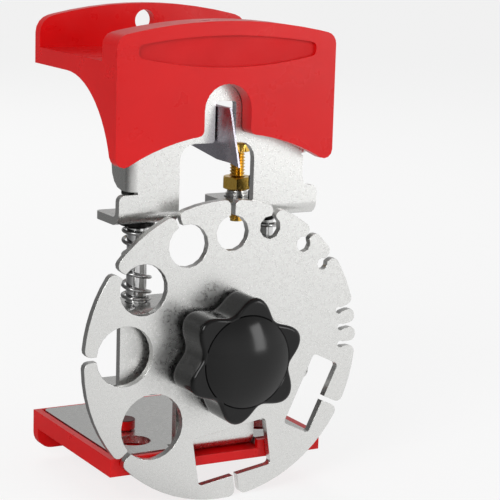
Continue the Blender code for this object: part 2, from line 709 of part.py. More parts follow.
def make_blade():
    """Flat on the right; on the left it is ground thin towards the edge at the front."""
    tip_y, rear_y = behind(BLADE_TIP_BEHIND), behind(BLADE_REAR_BEHIND)
    top_z = BLADE_TIP_Z + BLADE_HEIGHT
    rear_z = BLADE_TIP_Z + (rear_y - tip_y) * math.tan(BLADE_RAKE)
    outline = [(tip_y, BLADE_TIP_Z), (rear_y, rear_z), (rear_y, top_z), (behind(BLADE_TOP_BEHIND), top_z)]
    blade = add_piece("blade", extruded([outline], FACING_SIDE, BLADE_BACK_X, BLADE_FACE_X))
    thin_x = BLADE_FACE_X - BLADE_EDGE
    clear_x = BLADE_BACK_X - THROUGH
    land_y, grind_y = behind(BLADE_LAND_BEHIND), behind(BLADE_GRIND_BEHIND)
    grind = [
        (clear_x, tip_y - THROUGH),
        (thin_x, tip_y - THROUGH),
        (thin_x, land_y),
        (BLADE_BACK_X, grind_y),
        (clear_x, grind_y),
    ]
    cut(blade, extruded([grind], FACING_UP, BLADE_TIP_Z - THROUGH, top_z + THROUGH))
    clamp = (0, behind(CLAMP_BEHIND), CLAMP_Z)
    cut(blade, rod("X", clamp, BOLT_RADIUS + GAP, BLADE_BACK_X - THROUGH, BLADE_FACE_X + THROUGH))
    dress(blade, STEEL)


def make_blade_clamp():
    centre = (0, behind(CLAMP_BEHIND), CLAMP_Z)
    hole = BOLT_RADIUS + GAP
    washer_x = BLADE_FACE_X + GAP
    head_x = washer_x + WASHER_THICK + GAP
    nut_x = WEB_LEFT_X - GAP
    end_x = nut_x - BOLT_NUT_HEIGHT - BOLT_END
    bolt = add_piece("blade_bolt", rod("X", centre, BOLT_RADIUS, end_x, head_x + BOLT_HEAD / 2))
    head_end = 0.75 * BOLT_HEAD_RADIUS
    join(bolt, rod("X", centre, BOLT_HEAD_RADIUS, head_x, head_x + BOLT_HEAD, end_radius=head_end))
    dress(bolt, STEEL)
    drilled("blade_washer", WASHER_RADIUS, hole, "X", centre, washer_x, washer_x + WASHER_THICK, STEEL)
    nut_radius = hex_radius(BOLT_NUT_FLATS)
    drilled("blade_nut", nut_radius, hole, "X", centre, nut_x - BOLT_NUT_HEIGHT, nut_x, STEEL, 6)


# Grips


def crown(radius, top, half, steps):
    """Points of a shallow arc over the middle, from +X to -X."""
    reach = math.asin(half / radius)
    return arc((0, top - radius), radius, math.pi / 2 - reach, math.pi / 2 + reach, steps)


def side_to_side(middle, corner_radius):
    """A run of points from the left side to the right, with its two end corners rounded."""
    (left, left_z), (right, right_z) = middle[0], middle[-1]
    levels = [GUSSET_Z if z > GUSSET_Z + UPPER_HALF else REAR_PANEL_TOP_Z for z in (left_z, right_z)]
    corners = [(left, levels[0])] + middle + [(right, levels[1])]
    radii = [0, corner_radius] + [0] * (len(middle) - 2) + [corner_radius, 0]
    return rounded(corners, radii)[1:-1]


def past(run, level):
    """Outline of all that lies past a run of points, as far as a level above or below."""
    left, right = run[0], run[-1]
    outer_left, outer_right = left[0] - THROUGH, right[0] + THROUGH
    corners = [(outer_right, right[1]), (outer_right, level), (outer_left, level)]
    return [(outer_left, left[1])] + run + corners


def panel_foot():
    """Lower edge of the front panel, arched round the disc, with the blade's notch."""
    corner_angle = math.acos(UPPER_HALF / PANEL_FOOT_RADIUS)
    notch_angle = math.acos(NOTCH_HALF / PANEL_FOOT_RADIUS)
    centre = (0, DISC_CENTRE_Z)
    left_foot = arc(centre, PANEL_FOOT_RADIUS, math.pi - corner_angle, math.pi - notch_angle, 7)
    right_foot = [(-x, z) for x, z in left_foot[::-1]]
    arch = arc((0, NOTCH_TOP_Z - NOTCH_HALF), NOTCH_HALF, math.pi, 0, 14)
    corners = left_foot + arch + right_foot
    radii = [0] * 7 + [NOTCH_MOUTH] + [0] * len(arch) + [NOTCH_MOUTH] + [0] * 7
    return side_to_side(rounded(corners, radii), PANEL_FOOT_CORNER)


def grip_side():
    """The upper grip from its side, with the round edge of its gussets."""
    front, back = behind(PANEL_FRONT), behind(GRIP_REAR)
    centre = (behind(GUSSET_BEHIND), GUSSET_Z)
    edge = arc(centre, GUSSET_RADIUS, math.pi / 2, math.pi, 16)
    top = REAR_PANEL_TOP_Z + THROUGH
    return [(front, GUSSET_Z), (front, top), (back, top), (back, TOP_PLATE_Z)] + edge


def pad_outline():
    """The finger pad: two shallow arcs with rounded ends."""
    steps = 12
    upper, lower = [], []
    for i in range(steps + 1):
        x = PAD_HALF * (1 - 2 * i / steps)
        swell = 1 - (x / PAD_HALF) ** 2
        upper.append((x, PAD_Z + PAD_END + (PAD_RISE - PAD_END) * swell))
        lower.append((-x, PAD_Z - PAD_END - (PAD_DROP - PAD_END) * swell))
    radii = [0.9 * PAD_END] + [0] * (steps - 1) + [0.9 * PAD_END]
    return rounded(upper + lower, 2 * radii)


def stakes(places, floor, face, direction, height):
    """Plastic stakes through a plate, each with its melted head."""
    solids = []
    for x, depth in places:
        place = (x, behind(depth), 0)
        end = face + direction * (GAP + height)
        shank = sorted((floor - direction * FLOOR_THICK / 2, end - direction * height / 2))
        head = sorted((face + direction * GAP, end))
        solids.append(rod("Z", place, STAKE_RADIUS, *shank, steps=20))
        solids.append(rod("Z", place, STAKE_HEAD_RADIUS, *head, steps=20))
    return solids


def make_upper_grip():
    half = UPPER_HALF
    front, back = behind(PANEL_FRONT) - THROUGH, behind(GRIP_REAR) + THROUGH
    inner_back = behind(GRIP_REAR - REAR_WALL)
    grip = add_piece("upper_grip", extruded([grip_side()], FACING_SIDE, -half, half))
    trough = (-half - THROUGH, half + THROUGH)
    trough_top = REAR_PANEL_TOP_Z + 2 * THROUGH
    cut(grip, box(trough, (behind(HANDLE_BACK), inner_back), (GRIP_FLOOR_TOP_Z, trough_top)))
    under = (-half + UPPER_WALL, half - UPPER_WALL)
    cut(grip, box(under, (behind(PANEL_BACK), inner_back), (GUSSET_Z - THROUGH, GRIP_FLOOR_Z)))
    front_top = side_to_side(crown(PANEL_TOP_RADIUS, FRONT_PANEL_TOP_Z, half, 12)[::-1], PANEL_TOP_CORNER)
    rear_top = side_to_side(crown(REAR_TOP_RADIUS, REAR_PANEL_TOP_Z, half, 12)[::-1], REAR_CORNER)
    above_front, above_rear = past(front_top, trough_top), past(rear_top, trough_top)
    below = past(panel_foot(), GUSSET_Z - THROUGH)
    cut(grip, extruded([above_front], FACING_FRONT, front, behind(HANDLE_BACK) + THROUGH))
    cut(grip, extruded([above_rear], FACING_FRONT, inner_back - THROUGH, back))
    cut(grip, extruded([below], FACING_FRONT, front, behind(PANEL_BACK) + THROUGH))
    cut(grip, extruded([pad_outline()], FACING_FRONT, front, behind(PANEL_FRONT + PAD_DEPTH)))
    cut(grip, rod("Y", (HANG_HOLE_X, 0, HANG_HOLE_Z), HANG_HOLE_RADIUS, inner_back - THROUGH, back))
    join(grip, *stakes(UPPER_STAKES, GRIP_FLOOR_Z, TOP_PLATE_Z, -1, UPPER_STAKE_HEAD))
    dress(grip, RED)


def make_lower_grip():
    """A tray for the base plate, with a rear edge that the stripper stands on."""
    half = LOWER_GRIP_HALF
    tray_front = behind(LOWER_PLATE_FRONT) - GAP
    front, back = tray_front - LOWER_FRONT_WALL, behind(GRIP_REAR)
    foot_front = back - REAR_WALL
    side = [(front, LOWER_RIM_TOP_Z), (front, LOWER_RIM_BOTTOM_Z), (foot_front, LOWER_RIM_BOTTOM_Z)]
    side += [(foot_front, REAR_FOOT_Z), (back, REAR_FOOT_Z), (back, LOWER_RIM_TOP_Z)]
    grip = add_piece("lower_grip", extruded([side], FACING_SIDE, -half, half))
    low, high = REAR_FOOT_Z, LOWER_RIM_TOP_Z
    corners = [(-half, low), (half, low), (half, high), (-half, high)]
    shape = rounded(corners, [REAR_FOOT_CORNER, REAR_FOOT_CORNER, 0, 0], 6)
    combine(grip, extruded([shape], FACING_FRONT, front - THROUGH, back + THROUGH), "INTERSECT")
    tray_floor = BASE_PLATE_Z - GAP
    inside = (-half + LOWER_WALL, half - LOWER_WALL)
    above = (tray_floor, LOWER_RIM_TOP_Z + THROUGH)
    cut(grip, box(inside, (tray_front, back - TRAY_REAR_LIP), above))
    neck = (-NECK_HALF - GAP, NECK_HALF + GAP)
    cut(grip, box(neck, (front - THROUGH, tray_front + THROUGH), above))
    join(grip, *stakes(LOWER_STAKES, tray_floor, PLATE_TOP, 1, LOWER_STAKE_HEAD))
    dress(grip, RED)


# Guide posts, their fittings and the return springs


def post_places():
    return [(side * POST_X, behind(POST_BEHIND), 0) for side in (-1, 1)]


def make_posts():
    """Each post has a clip groove below, a shoulder under the foot tab and a threaded top."""
    shoulder = FOOT_TAB_Z - GAP - SEAT_THICK - GAP
    groove_low = LOWER_TAB_Z - GAP - CLIP_THICK - GAP
    top, low = POST_TOP_Z, POST_LOW_Z
    profile = [
        (0, top),
        (POST_THREAD_RADIUS - POST_CHAMFER, top),
        (POST_THREAD_RADIUS, top - POST_CHAMFER),
        (POST_THREAD_RADIUS, shoulder),
        (POST_RADIUS, shoulder),
        (POST_RADIUS, LOWER_TAB_Z),
        (POST_GROOVE_RADIUS, LOWER_TAB_Z),
        (POST_GROOVE_RADIUS, groove_low),
        (POST_RADIUS, groove_low),
        (POST_RADIUS, low + POST_CHAMFER),
        (POST_RADIUS - POST_CHAMFER, low),
        (0, low),
    ]
    for name, place in zip(("left", "right"), post_places()):
        post = add_piece("guide_post_" + name, turned("Z", place, profile))
        dress(post, BRIGHT_STEEL)


def flat_ring(name, outer, inner, place, low, high, finish, steps=ROUND_STEPS, turn=0.0):
    """A washer round an upright axis, or with 6 steps a nut with a corner at an angle."""
    outline = arc(place[:2], outer, turn, turn + 2 * math.pi, steps)[:-1]
    hole = arc(place[:2], inner, 0, 2 * math.pi, ROUND_STEPS // 2)[:-1]
    dress(add_piece(name, extruded([outline, hole], FACING_UP, low, high)), finish)


def make_post_fittings():
    """A clip below each lower tab, a washer over each spring, and two nuts on each post."""
    start, end = -math.pi / 2 + CLIP_MOUTH / 2, 1.5 * math.pi - CLIP_MOUTH / 2
    hole, nut_radius = POST_THREAD_RADIUS + GAP, hex_radius(POST_NUT_FLATS)
    clip_top, seat_top = LOWER_TAB_Z - GAP, FOOT_TAB_Z - GAP
    seat_low = seat_top - SEAT_THICK
    first_nut = FOOT_TAB_TOP + GAP
    nuts = (("post_nut_", first_nut), ("post_lock_nut_", first_nut + POST_NUT_HEIGHT + GAP))
    for side, place in zip(("left", "right"), post_places()):
        shape = arc(place[:2], CLIP_RADIUS, start, end, 20)
        shape += arc(place[:2], POST_GROOVE_RADIUS + GAP, end, start, 20)
        clip = extruded([shape], FACING_UP, clip_top - CLIP_THICK, clip_top)
        dress(add_piece("post_clip_" + side, clip), BLACK_STEEL)
        flat_ring("spring_washer_" + side, SEAT_RADIUS, hole, place, seat_low, seat_top, BLACK_STEEL)
        for name, low in nuts:
            high = low + POST_NUT_HEIGHT
            flat_ring(name + side, nut_radius, hole, place, low, high, BLACK_STEEL, 6, math.pi / 6)


def spring_points():
    """Helix whose first and last turns lie close, from the flange to the washer."""
    seat = FLANGE_TOP + GAP + SPRING_WIRE / 2
    top = FOOT_TAB_Z - GAP - SEAT_THICK - GAP - SPRING_WIRE / 2
    closed = SPRING_WIRE + 2 * GAP
    points = []
    for i in range(SPRING_TURNS * POINTS_PER_TURN + 1):
        turn = i / POINTS_PER_TURN
        if turn < 1:
            height = seat + closed * turn
        elif turn > SPRING_TURNS - 1:
            height = top - closed * (SPRING_TURNS - turn)
        else:
            share = (turn - 1) / (SPRING_TURNS - 2)
            height = seat + closed + (top - seat - 2 * closed) * share
        angle = 2 * math.pi * turn
        points.append(Vector((SPRING_RADIUS * math.cos(angle), SPRING_RADIUS * math.sin(angle), height)))
    return points


def least_gap(points):
    """Least clear distance between parts of the wire half a turn or more apart."""
    least = math.inf
    for i, here in enumerate(points):
        for there in points[i + POINTS_PER_TURN // 2:]:
            least = min(least, (here - there).length - SPRING_WIRE)
    return least


def make_springs():
    points = spring_points()
    print("spring: least gap between turns %.2f mm" % (least_gap(points) / MM))
    for name, place in zip(("left", "right"), post_places()):
        curve = bpy.data.curves.new("spring", "CURVE")
        curve.dimensions = "3D"
        curve.bevel_depth = SPRING_WIRE / 2
        curve.bevel_resolution = 1
        curve.use_fill_caps = True
        spline = curve.splines.new("POLY")
        spline.points.add(len(points) - 1)
        for point, spot in zip(spline.points, points):
            point.co = (*spot, 1)
        mesh = welded("spring", curve)
        mesh.transform(Matrix.Translation(place))
        dress(add_piece("return_spring_" + name, mesh), STEEL)


# Pivot and knob


def make_pivot():
    """Spacer between disc and plate, the nut fixed behind the plate, and the knob's stud."""
    centre = (0, 0, DISC_CENTRE_Z)
    disc_back, plate_front = behind(DISC_THICK), behind(LOWER_PLATE_FRONT)
    drilled("disc_spacer", SPACER_RADIUS, STUD_HOLE, "Y", centre, disc_back + GAP, plate_front - GAP, STEEL)
    nut_front = plate_front + SHEET + GAP
    nut_rear = nut_front + PIVOT_NUT_HEIGHT
    drilled("pivot_nut", hex_radius(PIVOT_NUT_FLATS), STUD_HOLE, "Y", centre, nut_front, nut_rear, STEEL, 6)
    stud_front = behind(-KNOB_FACE) + INSERT_WALL + GAP
    stud = add_piece("pivot_stud", rod("Y", centre, STUD_RADIUS, stud_front, behind(STUD_REAR_BEHIND)))
    dress(stud, STEEL)


def star_outline():
    """Lobed outline of the knob."""
    middle = (KNOB_TIP_RADIUS + KNOB_VALLEY_RADIUS) / 2
    swing = (KNOB_TIP_RADIUS - KNOB_VALLEY_RADIUS) / 2
    count = KNOB_LOBES * 10
    points = []
    for i in range(count):
        angle = 2 * math.pi * i / count
        radius = middle + swing * math.cos(KNOB_LOBES * angle)
        points.append((radius * math.sin(angle + KNOB_TURN), radius * math.cos(angle + KNOB_TURN)))
    return points


def dome_profile(face):
    """The domed cap in the middle of the knob, as a section from its rear to its nose."""
    rise = KNOB_PROUD - KNOB_FACE
    ball = (KNOB_DOME_RADIUS**2 + rise**2) / (2 * rise)
    lip = math.asin(KNOB_DOME_RADIUS / ball)
    nose = face - rise
    profile = [(0, face + THROUGH), (KNOB_DOME_RADIUS, face + THROUGH)]
    for i in range(6, 0, -1):
        angle = lip * i / 6
        profile.append((ball * math.sin(angle), nose + ball - ball * math.cos(angle)))
    return profile + [(0, nose)]


def make_knob():
    centre = (0, 0, DISC_CENTRE_Z)
    washer_rear = behind(0) - GAP
    washer_front = washer_rear - KNOB_WASHER_THICK
    rear, face = washer_front - GAP, behind(-KNOB_FACE)
    knob = add_piece("star_knob", extruded([moved(star_outline(), 0, DISC_CENTRE_Z)], FACING_FRONT, face, rear))
    bevel = knob.modifiers.new("rounded edges", "BEVEL")
    bevel.width = KNOB_EDGE
    bevel.segments = 2
    bevel.limit_method = "ANGLE"
    bevel.angle_limit = math.radians(60)
    knob.data = evaluated_mesh(knob)
    knob.modifiers.clear()
    join(knob, turned("Y", centre, dome_profile(face), 36))
    insert_radius = STUD_HOLE + INSERT_WALL
    pocket = face + INSERT_WALL
    cut(knob, rod("Y", centre, insert_radius + GAP, pocket, rear + THROUGH))
    dress(knob, BLACK)
    drilled("knob_insert", insert_radius, STUD_HOLE, "Y", centre, pocket + GAP, rear, BRASS)
    drilled("knob_washer", KNOB_WASHER_RADIUS, STUD_HOLE, "Y", centre, washer_front, washer_rear, STEEL)


# Depth stop


def make_stop():
    centre = (STOP_X, behind(STOP_BEHIND), 0)
    hole = STOP_RADIUS + GAP
    head_low = STOP_TOP_Z - STOP_HEAD
    screw = add_piece("stop_screw", rod("Z", centre, STOP_RADIUS, STOP_TIP_Z, head_low + STOP_HEAD / 2))
    join(screw, rod("Z", centre, STOP_HEAD_RADIUS, head_low, STOP_TOP_Z, end_radius=0.8 * STOP_HEAD_RADIUS))
    across = (STOP_X - 2 * STOP_HEAD_RADIUS, STOP_X + 2 * STOP_HEAD_RADIUS)
    slot = (centre[1] - STOP_SLOT_WIDTH / 2, centre[1] + STOP_SLOT_WIDTH / 2)
    cut(screw, box(across, slot, (STOP_TOP_Z - STOP_SLOT_WIDTH, STOP_TOP_Z + THROUGH)))
    dress(screw, BRASS)
    collar_low = FOOT_TAB_TOP + GAP
    collar_top = collar_low + COLLAR_HEIGHT
    collar = add_piece("stop_collar", rod("Z", centre, COLLAR_RADIUS, collar_low, collar_top))
    join(collar, rod("Z", centre, hole + COLLAR_SLEEVE, FOOT_TAB_Z, collar_low + COLLAR_HEIGHT / 2))
    cut(collar, rod("Z", centre, hole, FOOT_TAB_Z - THROUGH, collar_top + THROUGH))
    dress(collar, STEEL)
    nut_low = collar_top + GAP
    nut_top = nut_low + LOCK_NUT_HEIGHT
    flat_ring("lock_nut", hex_radius(LOCK_NUT_FLATS), hole, centre, nut_low, nut_top, BRASS, 6)


# Assembly

ORIGIN = (0, 0, 0)
ON_PIVOT = (0, DISC_FRONT_Y, DISC_CENTRE_Z)
ON_STOP = (STOP_X, behind(STOP_BEHIND), FOOT_TAB_Z)
# where each body's joint lies, and how the names of its pieces start
BODIES = {
    "base": (ORIGIN, ("lower_", "disc_spacer", "pivot_nut", "return_spring")),
    "carriage": (ORIGIN, ("upper_", "blade", "guide_post", "post_", "spring_washer", "stop_collar")),
    "selector": (ON_PIVOT, ("selector_disc",)),
    "knob": (ON_PIVOT, ("star_knob", "knob_", "pivot_stud")),
    "stop": (ON_STOP, ("stop_screw",)),
    "lock": (ON_STOP, ("lock_nut",)),
}


def assemble():
    """Parents each piece to an empty that stands on its body's joint."""
    pieces = list(PART.objects)
    for body, (place, starts) in BODIES.items():
        empty = bpy.data.objects.new(body + "_joint", None)
        empty.location = place
        PART.objects.link(empty)
        for piece in pieces:
            if piece.name.startswith(starts):
                piece.data.transform(Matrix.Translation(-Vector(place)))
                piece.parent = empty


make_disc()
make_lower_grip()
make_lower_frame()
make_posts()
make_post_fittings()
make_springs()
make_pivot()
make_knob()
make_upper_frame()
make_upper_grip()
make_blade()
make_blade_clamp()
make_stop()
assemble()
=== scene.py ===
import math

import bmesh
import bpy
from mathutils import Matrix, Vector


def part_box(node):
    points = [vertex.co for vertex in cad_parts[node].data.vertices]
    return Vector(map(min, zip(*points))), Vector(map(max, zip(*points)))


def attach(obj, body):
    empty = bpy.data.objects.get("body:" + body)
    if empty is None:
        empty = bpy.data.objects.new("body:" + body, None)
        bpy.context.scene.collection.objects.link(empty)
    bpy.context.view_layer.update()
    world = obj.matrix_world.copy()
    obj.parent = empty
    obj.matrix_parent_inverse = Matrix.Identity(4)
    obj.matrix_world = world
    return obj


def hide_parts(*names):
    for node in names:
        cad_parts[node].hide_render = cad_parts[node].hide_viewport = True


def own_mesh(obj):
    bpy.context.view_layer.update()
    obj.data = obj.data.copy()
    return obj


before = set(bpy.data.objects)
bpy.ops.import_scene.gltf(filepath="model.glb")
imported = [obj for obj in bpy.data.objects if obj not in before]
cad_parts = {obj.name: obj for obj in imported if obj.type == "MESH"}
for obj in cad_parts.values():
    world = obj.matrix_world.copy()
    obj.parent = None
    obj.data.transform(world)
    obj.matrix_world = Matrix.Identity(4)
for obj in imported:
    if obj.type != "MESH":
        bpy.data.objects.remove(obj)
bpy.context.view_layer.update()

MM = 0.001
WELD = 0.001 * MM             # points nearer than this become one
NEAR = 0.1 * MM               # a point this close to a plane lies on it
SEAT_GAP = 0.3 * MM           # what neighbouring pieces keep apart in the CAD model
FACING = 0.9                  # a normal with this much along an axis faces that way
FLAT_ANGLE = 0.5              # degrees within which faces are one flat face
SMOOTH_ANGLE = 35             # degrees up to which a turned or grown mesh is shaded smooth
EDGE_ANGLE = 40               # degrees from which an edge is rounded
SHARP_MARGIN = 5              # degrees more from which it is shaded sharp
SIDES = ("left", "right")


# Helpers


def linear(hex_code):
    """An sRGB hex colour as linear red, green, blue and alpha."""
    values = [int(hex_code[i:i + 2], 16) / 255 for i in (1, 3, 5)]
    return [v / 12.92 if v <= 0.04045 else ((v + 0.055) / 1.055) ** 2.4 for v in values] + [1.0]


def add_node(tree, kind, inputs=None, **settings):
    """Adds a node; an input is a value, or the node or socket that feeds it, or a list of nodes."""
    made = tree.nodes.new(kind)
    for name, value in settings.items():
        setattr(made, name, value)
    for key, value in (inputs or {}).items():
        several = isinstance(value, list) and isinstance(value[0], bpy.types.Node)
        for feed in value if several else [value]:
            if isinstance(feed, bpy.types.Node):
                feed = feed.outputs[0]
            if isinstance(feed, bpy.types.NodeSocket):
                tree.links.new(feed, made.inputs[key])
            else:
                made.inputs[key].default_value = feed
    return made


def middle(node):
    low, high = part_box(node)
    return (Vector(low) + Vector(high)) / 2


def extent(node, axis):
    """Lowest and highest coordinate of a CAD node along X, Y or Z."""
    low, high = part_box(node)
    return low["XYZ".index(axis)], high["XYZ".index(axis)]


# Materials


def start_material(name):
    """An empty material with its output, shader and object coordinates."""
    material = bpy.data.materials.new(name)
    material.use_nodes = True
    tree = material.node_tree
    tree.nodes.clear()
    shader = add_node(tree, "ShaderNodeBsdfPrincipled")
    add_node(tree, "ShaderNodeOutputMaterial", {"Surface": shader})
    place = add_node(tree, "ShaderNodeTexCoord").outputs["Object"]
    return material, tree, shader, place


NOISE_RANGE = (0.3, 0.7)      # nearly all of a noise lies between these


def mottled(tree, place, size, low, high, detail=3.0):
    """A value that wanders between low and high over patches of one size, in metres."""
    pattern = {"Vector": place, "Scale": 1 / size, "Detail": detail}
    noise = add_node(tree, "ShaderNodeTexNoise", pattern)
    spread = {0: noise, 1: NOISE_RANGE[0], 2: NOISE_RANGE[1], 3: low, 4: high}
    return add_node(tree, "ShaderNodeMapRange", spread)


def blended(tree, share, first, second):
    """A colour between two hex colours, by a share."""
    mixed = add_node(tree, "ShaderNodeMix", {"Factor": share}, data_type="RGBA")
    mixed.inputs["A"].default_value = linear(first)
    mixed.inputs["B"].default_value = linear(second)
    return mixed.outputs["Result"]


def grained(tree, shader, place, grain, depth, detail):
    """Fine relief on a surface, as bump."""
    pattern = {"Vector": place, "Scale": 1 / grain, "Detail": detail}
    noise = add_node(tree, "ShaderNodeTexNoise", pattern)
    relief = {"Height": noise, "Strength": 0.5, "Distance": depth}
    tree.links.new(add_node(tree, "ShaderNodeBump", relief).outputs[0], shader.inputs["Normal"])


PLASTIC_SHADE_PATCH = 18 * MM
PLASTIC_GLOSS_PATCH = 6 * MM
PLASTIC_GLOSS_SPREAD = 0.04
PLASTIC_IOR = 1.5
PLASTIC_SPECULAR = 0.3
PLASTIC_DETAIL = 2.0
METAL_DETAIL = 4.0
METAL_GLOSS_PATCH = 2.5       # in grains


def moulded_plastic(name, colour, shade, roughness, grain, grain_depth):
    """Injection-moulded: even colour, soft gloss and the fine texture of a sparked mould."""
    material, tree, shader, place = start_material(name)
    share = mottled(tree, place, PLASTIC_SHADE_PATCH, 0.0, 1.0)
    tree.links.new(blended(tree, share, colour, shade), shader.inputs["Base Color"])
    dullest, glossiest = roughness + PLASTIC_GLOSS_SPREAD, roughness - PLASTIC_GLOSS_SPREAD
    gloss = mottled(tree, place, PLASTIC_GLOSS_PATCH, glossiest, dullest)
    tree.links.new(gloss.outputs[0], shader.inputs["Roughness"])
    grained(tree, shader, place, grain, grain_depth, PLASTIC_DETAIL)
    shader.inputs["IOR"].default_value = PLASTIC_IOR
    shader.inputs["Specular IOR Level"].default_value = PLASTIC_SPECULAR
    return material


def metal(name, colour, shade, roughness, grain, grain_depth, spread=0.06):
    """Bare or plated metal whose grains catch the light one by one."""
    material, tree, shader, place = start_material(name)
    share = mottled(tree, place, grain, 0.0, 1.0, METAL_DETAIL)
    tree.links.new(blended(tree, share, colour, shade), shader.inputs["Base Color"])
    shader.inputs["Metallic"].default_value = 1.0
    patch = METAL_GLOSS_PATCH * grain
    rough = mottled(tree, place, patch, roughness - spread, roughness + spread)
    tree.links.new(rough.outputs[0], shader.inputs["Roughness"])
    grained(tree, shader, place, grain, grain_depth, METAL_DETAIL)
    return material


# name, two shades, roughness, size and depth of the grain, and how far a metal's gloss varies

# Red ABS: even, lightly sparked, a broad soft sheen; the pad is sparked coarser and duller
RED_ABS = moulded_plastic("moulded_red_abs", "#DE0A0E", "#D4080C", 0.3, 0.35 * MM, 0.008 * MM)
RED_PAD = moulded_plastic("sparked_red_abs", "#D80C11", "#C8080C", 0.5, 0.5 * MM, 0.06 * MM)
# A stake's head is coloured near black on its top
RED_DARK_TOP = moulded_plastic("dark_topped_red_abs", "#5A1010", "#3A0C0C", 0.4, 0.8 * MM, 0.05 * MM)
# Phenolic: near black and polished by the mould
BLACK_PHENOLIC = moulded_plastic(
    "pressed_black_phenolic", "#0C0C0C", "#121212", 0.16, 0.8 * MM, 0.003 * MM
)
# Zinc plate: pale, with a spangle of fine grains; a little darker on small parts
ZINC_SHEET = metal("zinc_plated_sheet", "#DEDEDC", "#D0D0CE", 0.3, 0.3 * MM, 0.01 * MM)
ZINC_PARTS = metal("zinc_plated_fasteners", "#CFCFCD", "#BDBDBB", 0.28, 0.5 * MM, 0.006 * MM)
# Ground tool steel: a cool, faintly lilac grey with a fine grain
GROUND_BLADE = metal("ground_tool_steel", "#D2CED8", "#C4C0CC", 0.3, 0.3 * MM, 0.004 * MM)
# Polished rod: clear reflections and hardly any grain
BRIGHT_STEEL = metal("polished_steel_rod", "#D8D8D8", "#CCCCCC", 0.14, 0.6 * MM, 0.002 * MM, 0.03)
# Black oxide: a dark grey film with a dull gleam
BLACK_OXIDE = metal("black_oxide_steel", "#2E2D2D", "#1E1D1D", 0.34, 0.4 * MM, 0.006 * MM)
# Drawn spring wire: smooth, grey and bright
SPRING_STEEL = metal("drawn_spring_steel", "#BDBDBD", "#A0A0A0", 0.2, 0.4 * MM, 0.003 * MM, 0.04)
# Turned brass: warm yellow, bright from the cutting tool
BRASS = metal("turned_brass", "#EBC566", "#DDB04C", 0.2, 0.5 * MM, 0.003 * MM, 0.05)


# Making and placing meshes


def evaluated(piece):
    """The piece's mesh with its modifiers applied; the piece itself is removed."""
    bpy.context.view_layer.update()
    graph = bpy.context.evaluated_depsgraph_get()
    mesh = bpy.data.meshes.new_from_object(piece.evaluated_get(graph), depsgraph=graph)
    bpy.data.objects.remove(piece, do_unlink=True)
    return mesh


def shown(name, mesh):
    piece = bpy.data.objects.new(name, mesh)
    bpy.context.scene.collection.objects.link(piece)
    return piece


def placed(name, mesh, material, body, slot, *nodes):
    """Puts a finished mesh in the scene in place of its CAD nodes."""
    mesh.name = name
    mesh.materials.clear()
    mesh.materials.append(material)
    piece = shown(name, mesh)
    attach(piece, body)
    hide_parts(*nodes)
    return piece


def rounded_off(mesh):
    """Shades a mesh smooth, with its sharp edges kept."""
    mesh.shade_smooth()
    mesh.set_sharp_from_angle(angle=math.radians(SMOOTH_ANGLE))
    return mesh


def merged(node):
    """A welded copy of a CAD node, with its flat faces made whole."""
    form = bmesh.new()
    form.from_mesh(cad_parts[node].data)
    bmesh.ops.remove_doubles(form, verts=form.verts, dist=WELD)
    flat = math.radians(FLAT_ANGLE)
    bmesh.ops.dissolve_limit(form, angle_limit=flat, verts=form.verts, edges=form.edges)
    mesh = bpy.data.meshes.new(node)
    form.to_mesh(mesh)
    form.free()
    return mesh


def edged(mesh, width, segments=2, angle=EDGE_ANGLE):
    """Rounds the edges that turn by more than an angle, and keeps flat faces shaded flat."""
    piece = shown("edged", mesh)
    bevel = piece.modifiers.new("rounded edges", "BEVEL")
    bevel.width = width
    bevel.segments = segments
    bevel.limit_method = "ANGLE"
    bevel.angle_limit = math.radians(angle)
    bevel.use_clamp_overlap = True
    weighted = piece.modifiers.new("flat faces stay flat", "WEIGHTED_NORMAL")
    weighted.weight = 100
    weighted.keep_sharp = True
    piece.data.shade_smooth()
    piece.data.set_sharp_from_angle(angle=math.radians(angle + SHARP_MARGIN))
    return evaluated(piece)


def softened(mesh, width, segments, chosen):
    """Rounds the outward edges that are chosen by their two end points and their faces' normals."""
    form = bmesh.new()
    form.from_mesh(mesh)
    edges = []
    for edge in form.edges:
        outward = len(edge.link_faces) == 2 and edge.is_convex
        if outward and edge.calc_face_angle() > math.radians(EDGE_ANGLE):
            ends = [vert.co for vert in edge.verts]
            normals = [face.normal for face in edge.link_faces]
            if chosen(*ends, *normals):
                edges.append(edge)
    bmesh.ops.bevel(
        form, geom=edges, offset=width, segments=segments, profile=0.5,
        affect="EDGES", clamp_overlap=True,
    )
    form.to_mesh(mesh)
    form.free()
    return mesh


def turned(profile, steps=72):
    """A solid turned round Z from (radius, height) points."""
    form = bmesh.new()
    points = [form.verts.new((radius, 0, height)) for radius, height in profile]
    edges = [form.edges.new(pair) for pair in zip(points, points[1:])]
    bmesh.ops.spin(
        form, geom=points + edges, axis=(0, 0, 1), angle=math.tau, steps=steps, use_merge=True
    )
    bmesh.ops.remove_doubles(form, verts=form.verts, dist=WELD)
    bmesh.ops.recalc_face_normals(form, faces=form.faces)
    mesh = bpy.data.meshes.new("turned")
    form.to_mesh(mesh)
    form.free()
    return rounded_off(mesh)


def quarter(radius, centre, start, steps=4):
    """Points of a quarter circle, turning anticlockwise from an angle in degrees."""
    points = []
    for i in range(steps + 1):
        angle = math.radians(start + 90 * i / steps)
        points.append((centre[0] + radius * math.cos(angle), centre[1] + radius * math.sin(angle)))
    return points


def together(*meshes):
    """One mesh made of several."""
    form = bmesh.new()
    for mesh in meshes:
        form.from_mesh(mesh)
    whole = bpy.data.meshes.new("whole")
    form.to_mesh(whole)
    form.free()
    return rounded_off(whole)


def moved(mesh, place, turn=None):
    """A copy of a mesh, turned and then moved."""
    copy = mesh.copy()
    copy.transform(Matrix.Translation(place) @ (turn or Matrix.Identity(4)))
    return copy


